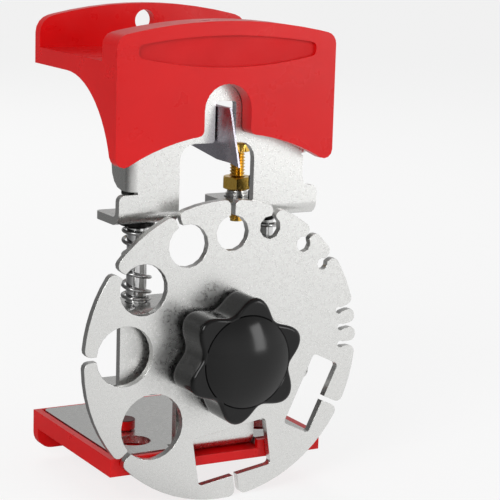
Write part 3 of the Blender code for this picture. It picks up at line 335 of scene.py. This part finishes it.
TO_X = Matrix.Rotation(math.pi / 2, 4, "Y")       # Z becomes X
FROM_X = Matrix.Rotation(-math.pi / 2, 4, "Y")    # Z becomes -X
TO_REAR = Matrix.Rotation(-math.pi / 2, 4, "X")   # Z becomes Y
TO_FRONT = Matrix.Rotation(math.pi / 2, 4, "X")   # Z becomes -Y, and Y becomes Z


# Geometry Nodes trees


def start_tree(name, *sizes):
    """A tree that takes a mesh or points and named sizes."""
    tree = bpy.data.node_groups.new(name, "GeometryNodeTree")
    tree.interface.new_socket("Geometry", in_out="INPUT", socket_type="NodeSocketGeometry")
    for size in sizes:
        tree.interface.new_socket(size, in_out="INPUT", socket_type="NodeSocketFloat")
    tree.interface.new_socket("Geometry", in_out="OUTPUT", socket_type="NodeSocketGeometry")
    return tree, add_node(tree, "NodeGroupInput").outputs


def finish_tree(tree, form, material):
    whole = add_node(tree, "GeometryNodeRealizeInstances", {"Geometry": form})
    dressed = add_node(tree, "GeometryNodeSetMaterial", {"Geometry": whole, "Material": material})
    add_node(tree, "NodeGroupOutput", {"Geometry": dressed})
    return tree


def grown(tree, mesh, **sizes):
    """A plain mesh from a tree run on a mesh; sizes are the inputs' names in lower case."""
    piece = shown("grown", mesh)
    growing = piece.modifiers.new("growing", "NODES")
    growing.node_group = tree
    for socket in tree.interface.items_tree:
        if socket.name.lower() in sizes:
            growing[socket.identifier] = float(sizes[socket.name.lower()])
    return rounded_off(evaluated(piece))


def at_places(*places):
    """A mesh of loose points, one for each copy that a tree sets down."""
    mesh = bpy.data.meshes.new("places")
    mesh.from_pydata([tuple(place) for place in places], [], [])
    return mesh


# how many straight sides stand for a full turn
THREAD_STEPS = 36
CONE_STEPS = 60
HOLE_STEPS = 48
SPRING_STEPS = 40
WIRE_STEPS = 12
ROD_STEPS = 48
KNOB_STEPS = 180


def thread_tree(material):
    """A ridge wound round a rod along Z that runs out to nothing at both ends."""
    tree, sizes = start_tree("thread", "Core", "Pitch", "Length")
    turns = {0: sizes["Length"], 1: sizes["Pitch"]}
    turns = add_node(tree, "ShaderNodeMath", turns, operation="DIVIDE")
    rod = {"Start Radius": sizes["Core"], "End Radius": sizes["Core"], "Height": sizes["Length"]}
    rod.update({"Resolution": THREAD_STEPS, "Rotations": turns})
    spiral = add_node(tree, "GeometryNodeCurveSpiral", rod)
    upright = add_node(tree, "GeometryNodeSetCurveNormal", {"Curve": spiral}, mode="Z_UP")
    along = add_node(tree, "GeometryNodeSplineParameter")
    left = add_node(tree, "ShaderNodeMath", {0: 1.0, 1: along}, operation="SUBTRACT")
    nearest = add_node(tree, "ShaderNodeMath", {0: along, 1: left}, operation="MINIMUM")
    # full height from one turn in
    height = {0: nearest, 1: turns}
    height = add_node(tree, "ShaderNodeMath", height, operation="MULTIPLY", use_clamp=True)
    half = add_node(tree, "ShaderNodeMath", {0: sizes["Pitch"], 1: 0.5}, operation="MULTIPLY")
    corners = {"Resolution": 4, "Radius": half}
    section = add_node(tree, "GeometryNodeCurvePrimitiveCircle", corners)
    ridge = {"Curve": upright, "Profile Curve": section, "Scale": height}
    wound = add_node(tree, "GeometryNodeCurveToMesh", ridge)
    closed = {"Geometry": wound, "Distance": WELD}
    closed = add_node(tree, "GeometryNodeMergeByDistance", closed)
    copies = {"Points": sizes["Geometry"], "Instance": closed}
    return finish_tree(tree, add_node(tree, "GeometryNodeInstanceOnPoints", copies), material)


NUT_CORNERS = 6
CHAMFER_START = 0.48          # share of the width across flats where a nut's end chamfer starts
CHAMFER_SLOPE = math.sqrt(3)  # the chamfer falls by 30 degrees
DRILL_LENGTH = 3.0            # in heights of the nut


def nut_tree(material):
    """A hexagon nut standing on its place: a prism turned off at both ends, less its hole."""
    tree, sizes = start_tree("nut", "Flats", "Height", "Hole", "Turn")
    corner = {0: sizes["Flats"], 1: 1 / math.sqrt(3)}
    corner = add_node(tree, "ShaderNodeMath", corner, operation="MULTIPLY")
    prism = {"Vertices": NUT_CORNERS, "Radius": corner, "Depth": sizes["Height"]}
    block = add_node(tree, "GeometryNodeMeshCylinder", prism)
    half = add_node(tree, "ShaderNodeMath", {0: sizes["Height"], 1: 0.5}, operation="MULTIPLY")
    lift = add_node(tree, "ShaderNodeCombineXYZ", {"Z": half})
    turn = add_node(tree, "ShaderNodeCombineXYZ", {"Z": sizes["Turn"]})
    standing = {"Geometry": block, "Translation": lift, "Rotation": turn}
    stood = add_node(tree, "GeometryNodeTransform", standing)
    narrow = {0: sizes["Flats"], 1: CHAMFER_START}
    narrow = add_node(tree, "ShaderNodeMath", narrow, operation="MULTIPLY")
    wide = {0: sizes["Height"], 1: CHAMFER_SLOPE, 2: narrow}
    wide = add_node(tree, "ShaderNodeMath", wide, operation="MULTIPLY_ADD")
    cone = {"Vertices": CONE_STEPS, "Depth": sizes["Height"]}
    upper = {**cone, "Radius Top": narrow, "Radius Bottom": wide}
    lower = {**cone, "Radius Top": wide, "Radius Bottom": narrow}
    solids = [stood] + [add_node(tree, "GeometryNodeMeshCone", one) for one in (upper, lower)]
    solids = {"Mesh 2": solids}
    exact = {"solver": "EXACT"}
    chamfered = add_node(tree, "GeometryNodeMeshBoolean", solids, operation="INTERSECT", **exact)
    long = {0: sizes["Height"], 1: DRILL_LENGTH}
    long = add_node(tree, "ShaderNodeMath", long, operation="MULTIPLY")
    bore = {"Vertices": HOLE_STEPS, "Radius": sizes["Hole"], "Depth": long}
    parts = {"Mesh 1": chamfered, "Mesh 2": add_node(tree, "GeometryNodeMeshCylinder", bore)}
    drilled = add_node(tree, "GeometryNodeMeshBoolean", parts, operation="DIFFERENCE", **exact)
    copies = {"Points": sizes["Geometry"], "Instance": drilled}
    return finish_tree(tree, add_node(tree, "GeometryNodeInstanceOnPoints", copies), material)


def spring_tree(material):
    """A compression spring standing on its place, whose first and last turns lie close."""
    tree, sizes = start_tree("spring", "Coil", "Wire", "Turns", "Closed", "Height")
    circle = {"Resolution": SPRING_STEPS, "Rotations": sizes["Turns"], "Height": 0.0}
    circle.update({"Start Radius": sizes["Coil"], "End Radius": sizes["Coil"]})
    spiral = add_node(tree, "GeometryNodeCurveSpiral", circle)
    along = add_node(tree, "GeometryNodeSplineParameter")
    turn = add_node(tree, "ShaderNodeMath", {0: along, 1: sizes["Turns"]}, operation="MULTIPLY")
    last = add_node(tree, "ShaderNodeMath", {0: sizes["Turns"], 1: 1.0}, operation="SUBTRACT")
    twice = {0: sizes["Closed"], 1: -2.0, 2: sizes["Height"]}
    open_part = add_node(tree, "ShaderNodeMath", twice, operation="MULTIPLY_ADD")
    starting = {0: turn, 1: 0.0, 2: 1.0, 3: 0.0, 4: sizes["Closed"]}
    first = add_node(tree, "ShaderNodeMapRange", starting)
    opening = {0: turn, 1: 1.0, 2: last, 3: 0.0, 4: open_part}
    between = add_node(tree, "ShaderNodeMapRange", opening)
    ending = {0: turn, 1: last, 2: sizes["Turns"], 3: 0.0, 4: sizes["Closed"]}
    final = add_node(tree, "ShaderNodeMapRange", ending)
    lower = add_node(tree, "ShaderNodeMath", {0: first, 1: between}, operation="ADD")
    height = add_node(tree, "ShaderNodeMath", {0: lower, 1: final}, operation="ADD")
    rise = add_node(tree, "ShaderNodeCombineXYZ", {"Z": height})
    helix = add_node(tree, "GeometryNodeSetPosition", {"Geometry": spiral, "Offset": rise})
    corners = {"Resolution": WIRE_STEPS, "Radius": sizes["Wire"]}
    section = add_node(tree, "GeometryNodeCurvePrimitiveCircle", corners)
    tube = {"Curve": helix, "Profile Curve": section, "Fill Caps": True}
    wire = add_node(tree, "GeometryNodeCurveToMesh", tube)
    copies = {"Points": sizes["Geometry"], "Instance": wire}
    return finish_tree(tree, add_node(tree, "GeometryNodeInstanceOnPoints", copies), material)


def lobe_tree(material):
    """Draws a body turned round Z into lobes, and leaves its middle round."""
    tree, sizes = start_tree("lobes", "Count", "Swing", "Start", "Inner", "Outer")
    place = add_node(tree, "GeometryNodeInputPosition")
    apart = add_node(tree, "ShaderNodeSeparateXYZ", {0: place})
    x, y = apart.outputs["X"], apart.outputs["Y"]
    flat = add_node(tree, "ShaderNodeCombineXYZ", {"X": x, "Y": y})
    radius = add_node(tree, "ShaderNodeVectorMath", {0: flat}, operation="LENGTH").outputs["Value"]
    around = add_node(tree, "ShaderNodeMath", {0: x, 1: y}, operation="ARCTAN2")
    from_tip = {0: around, 1: sizes["Start"]}
    from_tip = add_node(tree, "ShaderNodeMath", from_tip, operation="SUBTRACT")
    wave_turn = {0: from_tip, 1: sizes["Count"]}
    wave_turn = add_node(tree, "ShaderNodeMath", wave_turn, operation="MULTIPLY")
    wave = add_node(tree, "ShaderNodeMath", {0: wave_turn}, operation="COSINE")
    growing = {0: radius, 1: sizes["Inner"], 2: sizes["Outer"], 3: 0.0, 4: sizes["Swing"]}
    share = add_node(tree, "ShaderNodeMapRange", growing)
    push = add_node(tree, "ShaderNodeMath", {0: wave, 1: share}, operation="MULTIPLY")
    outward = add_node(tree, "ShaderNodeVectorMath", {0: flat}, operation="NORMALIZE")
    shift = {0: outward, "Scale": push}
    offset = add_node(tree, "ShaderNodeVectorMath", shift, operation="SCALE")
    lobed = {"Geometry": sizes["Geometry"], "Offset": offset}
    return finish_tree(tree, add_node(tree, "GeometryNodeSetPosition", lobed), material)


# Sheet frames, blade, disc and grips, with their edges broken

# CAD node, new name, edge radius, segments, material, body, slot
REFINED = (
    ("selector_disc", "selector_plate", 0.15 * MM, 2, ZINC_SHEET, "selector", "zinc_steel"),
    ("upper_frame", "upper_bracket", 0.25 * MM, 2, ZINC_SHEET, "carriage", "zinc_steel"),
    ("lower_frame", "lower_bracket", 0.25 * MM, 2, ZINC_SHEET, "base", "zinc_steel"),
    ("blade", "cutting_blade", 0.06 * MM, 1, GROUND_BLADE, "carriage", "zinc_steel"),
)
for node, name, width, segments, material, body, slot in REFINED:
    placed(name, edged(merged(node), width, segments), material, body, slot, node)

PANEL_EDGE = 1.2 * MM
HANDLE_EDGE = 0.45 * MM
TRAY_EDGE = 0.45 * MM
PAD_DEPTH = 0.8 * MM
STAKE_TOP = 0.6 * MM          # the part of a stake's head coloured near black, from its end


def paint_faces(piece, material, chosen):
    """Gives a second material to the faces whose centre and normal are chosen."""
    piece.data.materials.append(material)
    for face in piece.data.polygons:
        if chosen(face.center, face.normal):
            face.material_index = len(piece.data.materials) - 1


def panel_rim(start, end, first, second):
    """Edges between the front face and the rim of the front panel, but not the pad's."""
    front = extent("upper_grip", "Y")[0]
    on_front = abs(start.y - front) < NEAR and abs(end.y - front) < NEAR
    return on_front and min(first.y, second.y) < -FACING


def make_grips():
    handle = edged(softened(merged("upper_grip"), PANEL_EDGE, 4, panel_rim), HANDLE_EDGE)
    grip = placed("upper_handle", handle, RED_ABS, "carriage", "red_plastic", "upper_grip")
    pad_y = extent("upper_grip", "Y")[0] + PAD_DEPTH

    def on_pad(spot, normal):
        return normal.y < -FACING and abs(spot.y - pad_y) < NEAR

    paint_faces(grip, RED_PAD, on_pad)
    tray = edged(merged("lower_grip"), TRAY_EDGE, 3)
    tray = placed("lower_handle", tray, RED_ABS, "base", "red_plastic", "lower_grip")
    stake_z = extent("lower_grip", "Z")[1] - STAKE_TOP
    # the top of each stake's head is coloured near black
    paint_faces(tray, RED_DARK_TOP, lambda spot, normal: spot.z > stake_z)


make_grips()


# Threads, nuts, posts and the stop screw

FINE_PITCH = 0.7 * MM
STOP_PITCH = 0.8 * MM
STUD_PITCH = 0.8 * MM


def threaded(radius, pitch, low, high, end):
    """Core of a threaded rod along Z, chamfered at its top, and the ridge wound round it."""
    core = radius - pitch / 2
    bare = [(0, low), (core, low), (core, high - end), (core - end, high), (0, high)]
    bare = turned(bare, ROD_STEPS)
    start = low + pitch / 2
    sizes = {"core": core, "pitch": pitch, "length": high - end - start}
    ridge = grown(thread_tree(ZINC_PARTS), at_places((0, 0, start)), **sizes)
    return bare, ridge


def make_posts():
    """Bright rods with a clip groove at the foot and a threaded top."""
    radius, thread_radius, groove_radius, chamfer = 2.5 * MM, 2.0 * MM, 2.0 * MM, 0.4 * MM
    low, high = extent("guide_post_left", "Z")
    shoulder = extent("spring_washer_left", "Z")[0] - SEAT_GAP
    clip_low, clip_high = extent("post_clip_left", "Z")
    groove_low, groove_high = clip_low - SEAT_GAP, clip_high + SEAT_GAP
    shaft = [(0, low), (radius - chamfer, low), (radius, low + chamfer), (radius, groove_low)]
    shaft += [(groove_radius, groove_low), (groove_radius, groove_high), (radius, groove_high)]
    shaft += [(radius, shoulder - chamfer), (radius - chamfer, shoulder), (0, shoulder)]
    shaft = turned(shaft)
    thread = threaded(thread_radius, FINE_PITCH, shoulder - chamfer, high, chamfer)
    post = together(shaft, *thread)
    both = []
    for side in SIDES:
        spot = middle("guide_post_" + side)
        both.append(moved(post, (spot.x, spot.y, 0)))
    nodes = ["guide_post_" + side for side in SIDES]
    placed("guide_posts", together(*both), BRIGHT_STEEL, "carriage", "bright_steel", *nodes)


# for each axis, the nut's own X and Y as world axes, and the matrix that turns it there
LYING = {"X": ("Z", "Y", TO_X), "Y": ("X", "Z", TO_REAR), "Z": ("X", "Y", Matrix.Identity(4))}

NUT_EDGE = 0.12 * MM
NUT_EDGE_ANGLE = 25           # degrees, so that the slight edges of the chamfer are rounded too
NUT_TURN = 30                 # degrees from a corner to the middle of a flat


def nuts_like(axis, material, hole, *nodes):
    """Chamfered nuts in the places of CAD nuts that share one axis, size and turn."""
    across, beside, lying = LYING[axis]
    low, high = extent(nodes[0], axis)
    widths = [extent(nodes[0], side)[1] - extent(nodes[0], side)[0] for side in (across, beside)]
    turn = math.radians(NUT_TURN) if widths[0] < widths[1] else 0.0
    places = []
    for node in nodes:
        spot = middle(node)
        spot["XYZ".index(axis)] = extent(node, axis)[0]
        places.append(lying.inverted() @ spot)
    sizes = {"flats": min(widths), "height": high - low, "hole": hole, "turn": turn}
    nuts = grown(nut_tree(material), at_places(*places), **sizes)
    return edged(moved(nuts, (0, 0, 0), lying), NUT_EDGE, 2, NUT_EDGE_ANGLE)


# new name, axis, hole radius, material, body, slot, CAD nodes
NUTS = (
    ("post_nuts", "Z", 2.15 * MM, BLACK_OXIDE, "carriage", "black_steel",
     ("post_nut_left", "post_nut_right", "post_lock_nut_left", "post_lock_nut_right")),
    ("brass_lock_nut", "Z", 2.05 * MM, BRASS, "lock", "brass", ("lock_nut",)),
    ("blade_hex_nut", "X", 2.1 * MM, ZINC_PARTS, "carriage", "zinc_steel", ("blade_nut",)),
    ("pivot_hex_nut", "Y", 2.6 * MM, ZINC_PARTS, "base", "zinc_steel", ("pivot_nut",)),
)


def make_nuts():
    for name, axis, hole, material, body, slot, nodes in NUTS:
        placed(name, nuts_like(axis, material, hole, *nodes), material, body, slot, *nodes)


def make_side_bolts():
    """The blade's bolt, with a domed slotless head, and the knob's stud."""
    radius, tail, head, head_radius = 2.0 * MM, 0.3 * MM, 2.4 * MM, 3.8 * MM
    dome_height, dome_inset, dome_steps = 1.8 * MM, 1.17 * MM, 4
    sunk = 0.2 * MM               # the shank's root inside the head
    low, high = extent("blade_bolt", "X")
    spot = middle("blade_bolt")
    shank = together(*threaded(radius, FINE_PITCH, 0, high - head - low + sunk, tail))
    shank = moved(shank, (high - head + sunk, spot.y, spot.z), FROM_X)
    cap = [(0, 0), (head_radius, 0), (head_radius, head - dome_height)]
    for i in range(1, dome_steps + 1):
        angle = math.radians(90 * i / dome_steps)
        inset, drop = dome_inset * (1 - math.cos(angle)), dome_height * (1 - math.sin(angle))
        cap.append((head_radius - inset, head - drop))
    cap.append((0, head))
    bolt = together(shank, moved(turned(cap), (high - head, spot.y, spot.z), TO_X))
    placed("blade_clamp_bolt", bolt, ZINC_PARTS, "carriage", "zinc_steel", "blade_bolt")
    radius, tail = 2.5 * MM, 0.4 * MM
    low, high = extent("pivot_stud", "Y")
    spot = middle("pivot_stud")
    stud = together(*threaded(radius, STUD_PITCH, 0, high - low, tail))
    stud = moved(stud, (spot.x, low, spot.z), TO_REAR)
    placed("knob_stud", stud, ZINC_PARTS, "knob", "zinc_steel", "pivot_stud")


def make_stop_screw():
    """A brass screw with a slotted cheese head."""
    radius, tail, head, head_radius = 1.95 * MM, 0.3 * MM, 2.4 * MM, 3.2 * MM
    seat_edge, taper, top_edge = 0.2 * MM, 0.1 * MM, 0.5 * MM
    slot_width, slot_depth, slot_edge, slot_angle = 1.0 * MM, 1.2 * MM, 0.08 * MM, 50
    sunk = 0.1 * MM               # the shank's root inside the head
    low, high = extent("stop_screw", "Z")
    spot = middle("stop_screw")
    seat, top_radius = high - head, head_radius - taper
    bare, ridge = threaded(radius, STOP_PITCH, low, seat + sunk, tail)
    rim = [(0, seat), (head_radius - seat_edge, seat), (head_radius, seat + seat_edge)]
    rim += [(top_radius, high - top_edge)]
    rim += [*quarter(top_edge, (top_radius - top_edge, high - top_edge), 0), (0, high)]
    piece = shown("screw head", turned(rim))
    form = bmesh.new()
    block = Matrix.Diagonal((3 * head_radius, slot_width, 2 * slot_depth, 1))
    bmesh.ops.create_cube(form, size=1, matrix=block)
    slot = bpy.data.meshes.new("slot")
    form.to_mesh(slot)
    form.free()
    cutter = shown("slot", moved(slot, (0, 0, high)))
    cut = piece.modifiers.new("slot", "BOOLEAN")
    cut.operation = "DIFFERENCE"
    cut.object = cutter
    cap = evaluated(piece)
    bpy.data.objects.remove(cutter, do_unlink=True)
    screw = together(bare, ridge, edged(cap, slot_edge, 2, slot_angle))
    screw = moved(screw, (spot.x, spot.y, 0))
    placed("depth_stop_screw", screw, BRASS, "stop", "brass", "stop_screw")


def make_collar():
    """The steel bush that the stop screw runs in: a wide step below and a narrow one above."""
    hole, sleeve, wide, narrow, edge = 2.0 * MM, 3.0 * MM, 2.9 * MM, 2.55 * MM, 0.15 * MM
    flange, wide_height = 1.5 * MM, 0.75 * MM
    low, high = extent("stop_collar", "Z")
    spot = middle("stop_collar")
    flange_low = extent("lock_nut", "Z")[0] - SEAT_GAP - flange
    step = flange_low + wide_height
    profile = [(hole, low), (sleeve, low), (sleeve, flange_low), (wide - edge, flange_low)]
    profile += quarter(edge, (wide - edge, flange_low + edge), -90, 2)
    profile += [*quarter(edge, (wide - edge, step - edge), 0, 2), (narrow, step)]
    profile += [*quarter(edge, (narrow - edge, high - edge), 0, 2), (hole, high), (hole, low)]
    bush = moved(turned(profile), (spot.x, spot.y, 0))
    placed("stop_bush", bush, ZINC_PARTS, "carriage", "zinc_steel", "stop_collar")


def make_springs():
    """Two compression springs, one round each guide post."""
    wire, closed, turns, coil, travel = 0.9 * MM, 1.5 * MM, 6, 3.35 * MM, 13 * MM
    low, high = extent("return_spring_left", "Z")
    places = []
    for side in SIDES:
        spot = middle("guide_post_" + side)
        places.append((spot.x, spot.y, low + wire / 2))
    sizes = {"coil": coil, "wire": wire / 2, "turns": turns, "closed": closed}
    coils = grown(spring_tree(SPRING_STEEL), at_places(*places), height=high - low - wire, **sizes)
    nodes = ["return_spring_" + side for side in SIDES]
    springs = placed("return_springs", coils, SPRING_STEEL, "base", "zinc_steel", *nodes)
    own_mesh(springs)


def make_knob():
    """Turned with rolled edges and drawn into lobes, with a domed cap pressed in its middle."""
    radius, swing, lobes, lobe_turn = 13.8 * MM, 1.8 * MM, 6, math.radians(10)
    rear_edge, edge, side_steps, edge_steps = 0.5 * MM, 1.1 * MM, 6, 6
    cap, lip, groove, groove_depth, cap_steps = 11.2 * MM, 0.35 * MM, 0.05 * MM, 0.25 * MM, 16
    reach, half_disc = 11.5 * MM, 1.0 * MM        # the lobes' face stands this far off the disc
    spot = middle("selector_disc")
    nose, rear = extent("star_knob", "Y")
    face = spot.y - half_disc - reach
    depth, rise = rear - face, face - nose
    ball = (cap**2 + rise**2) / (2 * rise)
    profile = [(0, 0), *quarter(rear_edge, (radius - rear_edge, rear_edge), -90, 3)]
    profile += [(radius, depth * i / side_steps) for i in range(1, side_steps)]
    profile += quarter(edge, (radius - edge, depth - edge), 0, edge_steps)
    profile += [(cap + lip, depth), (cap + groove, depth - groove_depth)]
    for i in range(cap_steps, 0, -1):
        angle = math.asin(cap / ball) * i / cap_steps
        profile.append((ball * math.sin(angle), depth + rise - ball + ball * math.cos(angle)))
    profile.append((0, depth + rise))
    sizes = {"count": lobes, "swing": swing, "start": lobe_turn}
    sizes.update({"inner": cap + lip, "outer": radius - edge})
    knob = grown(lobe_tree(BLACK_PHENOLIC), turned(profile, KNOB_STEPS), **sizes)
    knob = moved(knob, (spot.x, rear, spot.z), TO_FRONT)
    placed("clamping_knob", knob, BLACK_PHENOLIC, "knob", "black_plastic", "star_knob")


make_posts()
make_nuts()
make_side_bolts()
make_stop_screw()
make_collar()
make_springs()
make_knob()

# CAD nodes whose shape stays, by their finish
CARRIED = {
    ZINC_PARTS: ("blade_washer", "disc_spacer", "knob_washer"),
    BLACK_OXIDE: ("post_clip_left", "post_clip_right", "spring_washer_left", "spring_washer_right"),
    BRASS: ("knob_insert",),
}
for material, nodes in CARRIED.items():
    for node in nodes:
        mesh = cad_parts[node].data
        mesh.materials.clear()
        mesh.materials.append(material)


# Floor, light and camera

# how bright the room is in reflections: in the middle, and more or less towards +X, +Y and +Z
ROOM_TONE = 0.64
ROOM_SLOPE = (0.48, -0.33, 0.15)
CEILING_TONE = 0.4            # the part of that brightness left high up
CEILING_RISE = (0.1, 0.8)     # sine of the height where it starts to fall, and where it has fallen
FLOOR_WIDTH = 6
SEEN_WHITE = 0.8              # share of the floor's look that is plain white to the camera
SEEN_ROOM = 0.85              # share of it that is the room in reflections
EVEN_LIGHT = 0.42


def room_tone(tree, direction):
    """How bright the room is in a direction: light front right, dim rear left and high up."""
    unit = add_node(tree, "ShaderNodeVectorMath", {0: direction}, operation="NORMALIZE")
    slope = {0: unit, 1: ROOM_SLOPE}
    slope = add_node(tree, "ShaderNodeVectorMath", slope, operation="DOT_PRODUCT")
    level = {0: slope.outputs["Value"], 1: ROOM_TONE}
    level = add_node(tree, "ShaderNodeMath", level, operation="ADD", use_clamp=True)
    rise = add_node(tree, "ShaderNodeSeparateXYZ", {0: unit}).outputs["Z"]
    ceiling = {0: rise, 1: CEILING_RISE[0], 2: CEILING_RISE[1], 3: 1.0, 4: CEILING_TONE}
    ceiling = add_node(tree, "ShaderNodeMapRange", ceiling, interpolation_type="SMOOTHSTEP")
    return add_node(tree, "ShaderNodeMath", {0: level, 1: ceiling}, operation="MULTIPLY")


def make_floor():
    """A pale floor: white to the camera, the room in reflections, and it keeps the shadow."""
    bpy.ops.mesh.primitive_plane_add(size=FLOOR_WIDTH, location=(0, 0, 0))
    floor = bpy.context.object
    floor.name = "floor"
    material = bpy.data.materials.new("pale_paper")
    material.use_nodes = True
    tree = material.node_tree
    tree.nodes.clear()
    paper = add_node(tree, "ShaderNodeBsdfDiffuse", {"Color": linear("#F4F4F4")})
    white = add_node(tree, "ShaderNodeEmission", {"Color": linear("#FFFFFF"), "Strength": 1.0})
    tone = room_tone(tree, add_node(tree, "ShaderNodeTexCoord").outputs["Object"])
    room = add_node(tree, "ShaderNodeEmission", {"Color": linear("#FFFFFF"), "Strength": tone})
    path = add_node(tree, "ShaderNodeLightPath")
    seen = {0: path.outputs["Is Camera Ray"], 1: SEEN_WHITE}
    seen = add_node(tree, "ShaderNodeMath", seen, operation="MULTIPLY")
    for_camera = add_node(tree, "ShaderNodeMixShader", {0: seen, 1: paper, 2: white})
    mirrored = {0: path.outputs["Is Glossy Ray"], 1: SEEN_ROOM}
    mirrored = add_node(tree, "ShaderNodeMath", mirrored, operation="MULTIPLY")
    mixed = add_node(tree, "ShaderNodeMixShader", {0: mirrored, 1: for_camera, 2: room})
    add_node(tree, "ShaderNodeOutputMaterial", {"Surface": mixed})
    floor.data.materials.append(material)


def make_world():
    """White to the camera, toned by direction in reflections, and an even light on the object."""
    world = bpy.data.worlds.new("studio")
    bpy.context.scene.world = world
    world.use_nodes = True
    tree = world.node_tree
    tree.nodes.clear()
    path = add_node(tree, "ShaderNodeLightPath")
    tone = room_tone(tree, add_node(tree, "ShaderNodeTexCoord").outputs["Generated"])
    colour = linear("#FFFFFF")
    light = add_node(tree, "ShaderNodeBackground", {"Color": colour, "Strength": EVEN_LIGHT})
    room = add_node(tree, "ShaderNodeBackground", {"Color": colour, "Strength": tone})
    white = add_node(tree, "ShaderNodeBackground", {"Color": colour, "Strength": 1.0})
    lit = {0: path.outputs["Is Glossy Ray"], 1: light, 2: room}
    lit = add_node(tree, "ShaderNodeMixShader", lit)
    mixed = {0: path.outputs["Is Camera Ray"], 1: lit, 2: white}
    mixed = add_node(tree, "ShaderNodeMixShader", mixed)
    add_node(tree, "ShaderNodeOutputWorld", {"Surface": mixed})


def add_lamp(name, place, aim, width, height, power, mirrored=True):
    """A soft lamp that faces a point of the object, and may be left out of reflections."""
    lamp = bpy.data.lights.new(name, "AREA")
    lamp.shape = "RECTANGLE"
    lamp.size = width
    lamp.size_y = height
    lamp.energy = power
    holder = bpy.data.objects.new(name, lamp)
    holder.location = place
    holder.rotation_euler = (Vector(aim) - Vector(place)).to_track_quat("-Z", "Y").to_euler()
    holder.visible_glossy = mirrored
    bpy.context.scene.collection.objects.link(holder)


CAMERA_LENS = 131.943
CAMERA_SENSOR = 36
CAMERA_PLACE = (-208.954 * MM, -398.168 * MM, 147.096 * MM)
CAMERA_TURN = (79.0127, -1.692, -29.1583)


def make_camera():
    """The lens and place were fitted to the object's corners, holes and edges."""
    camera = bpy.data.cameras.new("camera")
    camera.lens = CAMERA_LENS
    camera.sensor_width = CAMERA_SENSOR
    holder = bpy.data.objects.new("camera", camera)
    holder.location = CAMERA_PLACE
    holder.rotation_euler = [math.radians(angle) for angle in CAMERA_TURN]
    bpy.context.scene.collection.objects.link(holder)
    bpy.context.scene.camera = holder


make_floor()
make_world()
# place, aim, width, height and power
centre = (0, 0, 60 * MM)
add_lamp("key", (-0.65, -0.5, 0.5), centre, 0.4, 0.4, 3.6)
add_lamp("softbox", (0.54, -0.7, 0.26), centre, 0.24, 0.45, 1.6)
add_lamp("rear", (0.1, 0.7, 0.6), centre, 0.4, 0.4, 1.6, mirrored=False)
make_camera()
bpy.context.scene.view_settings.view_transform = "Standard"
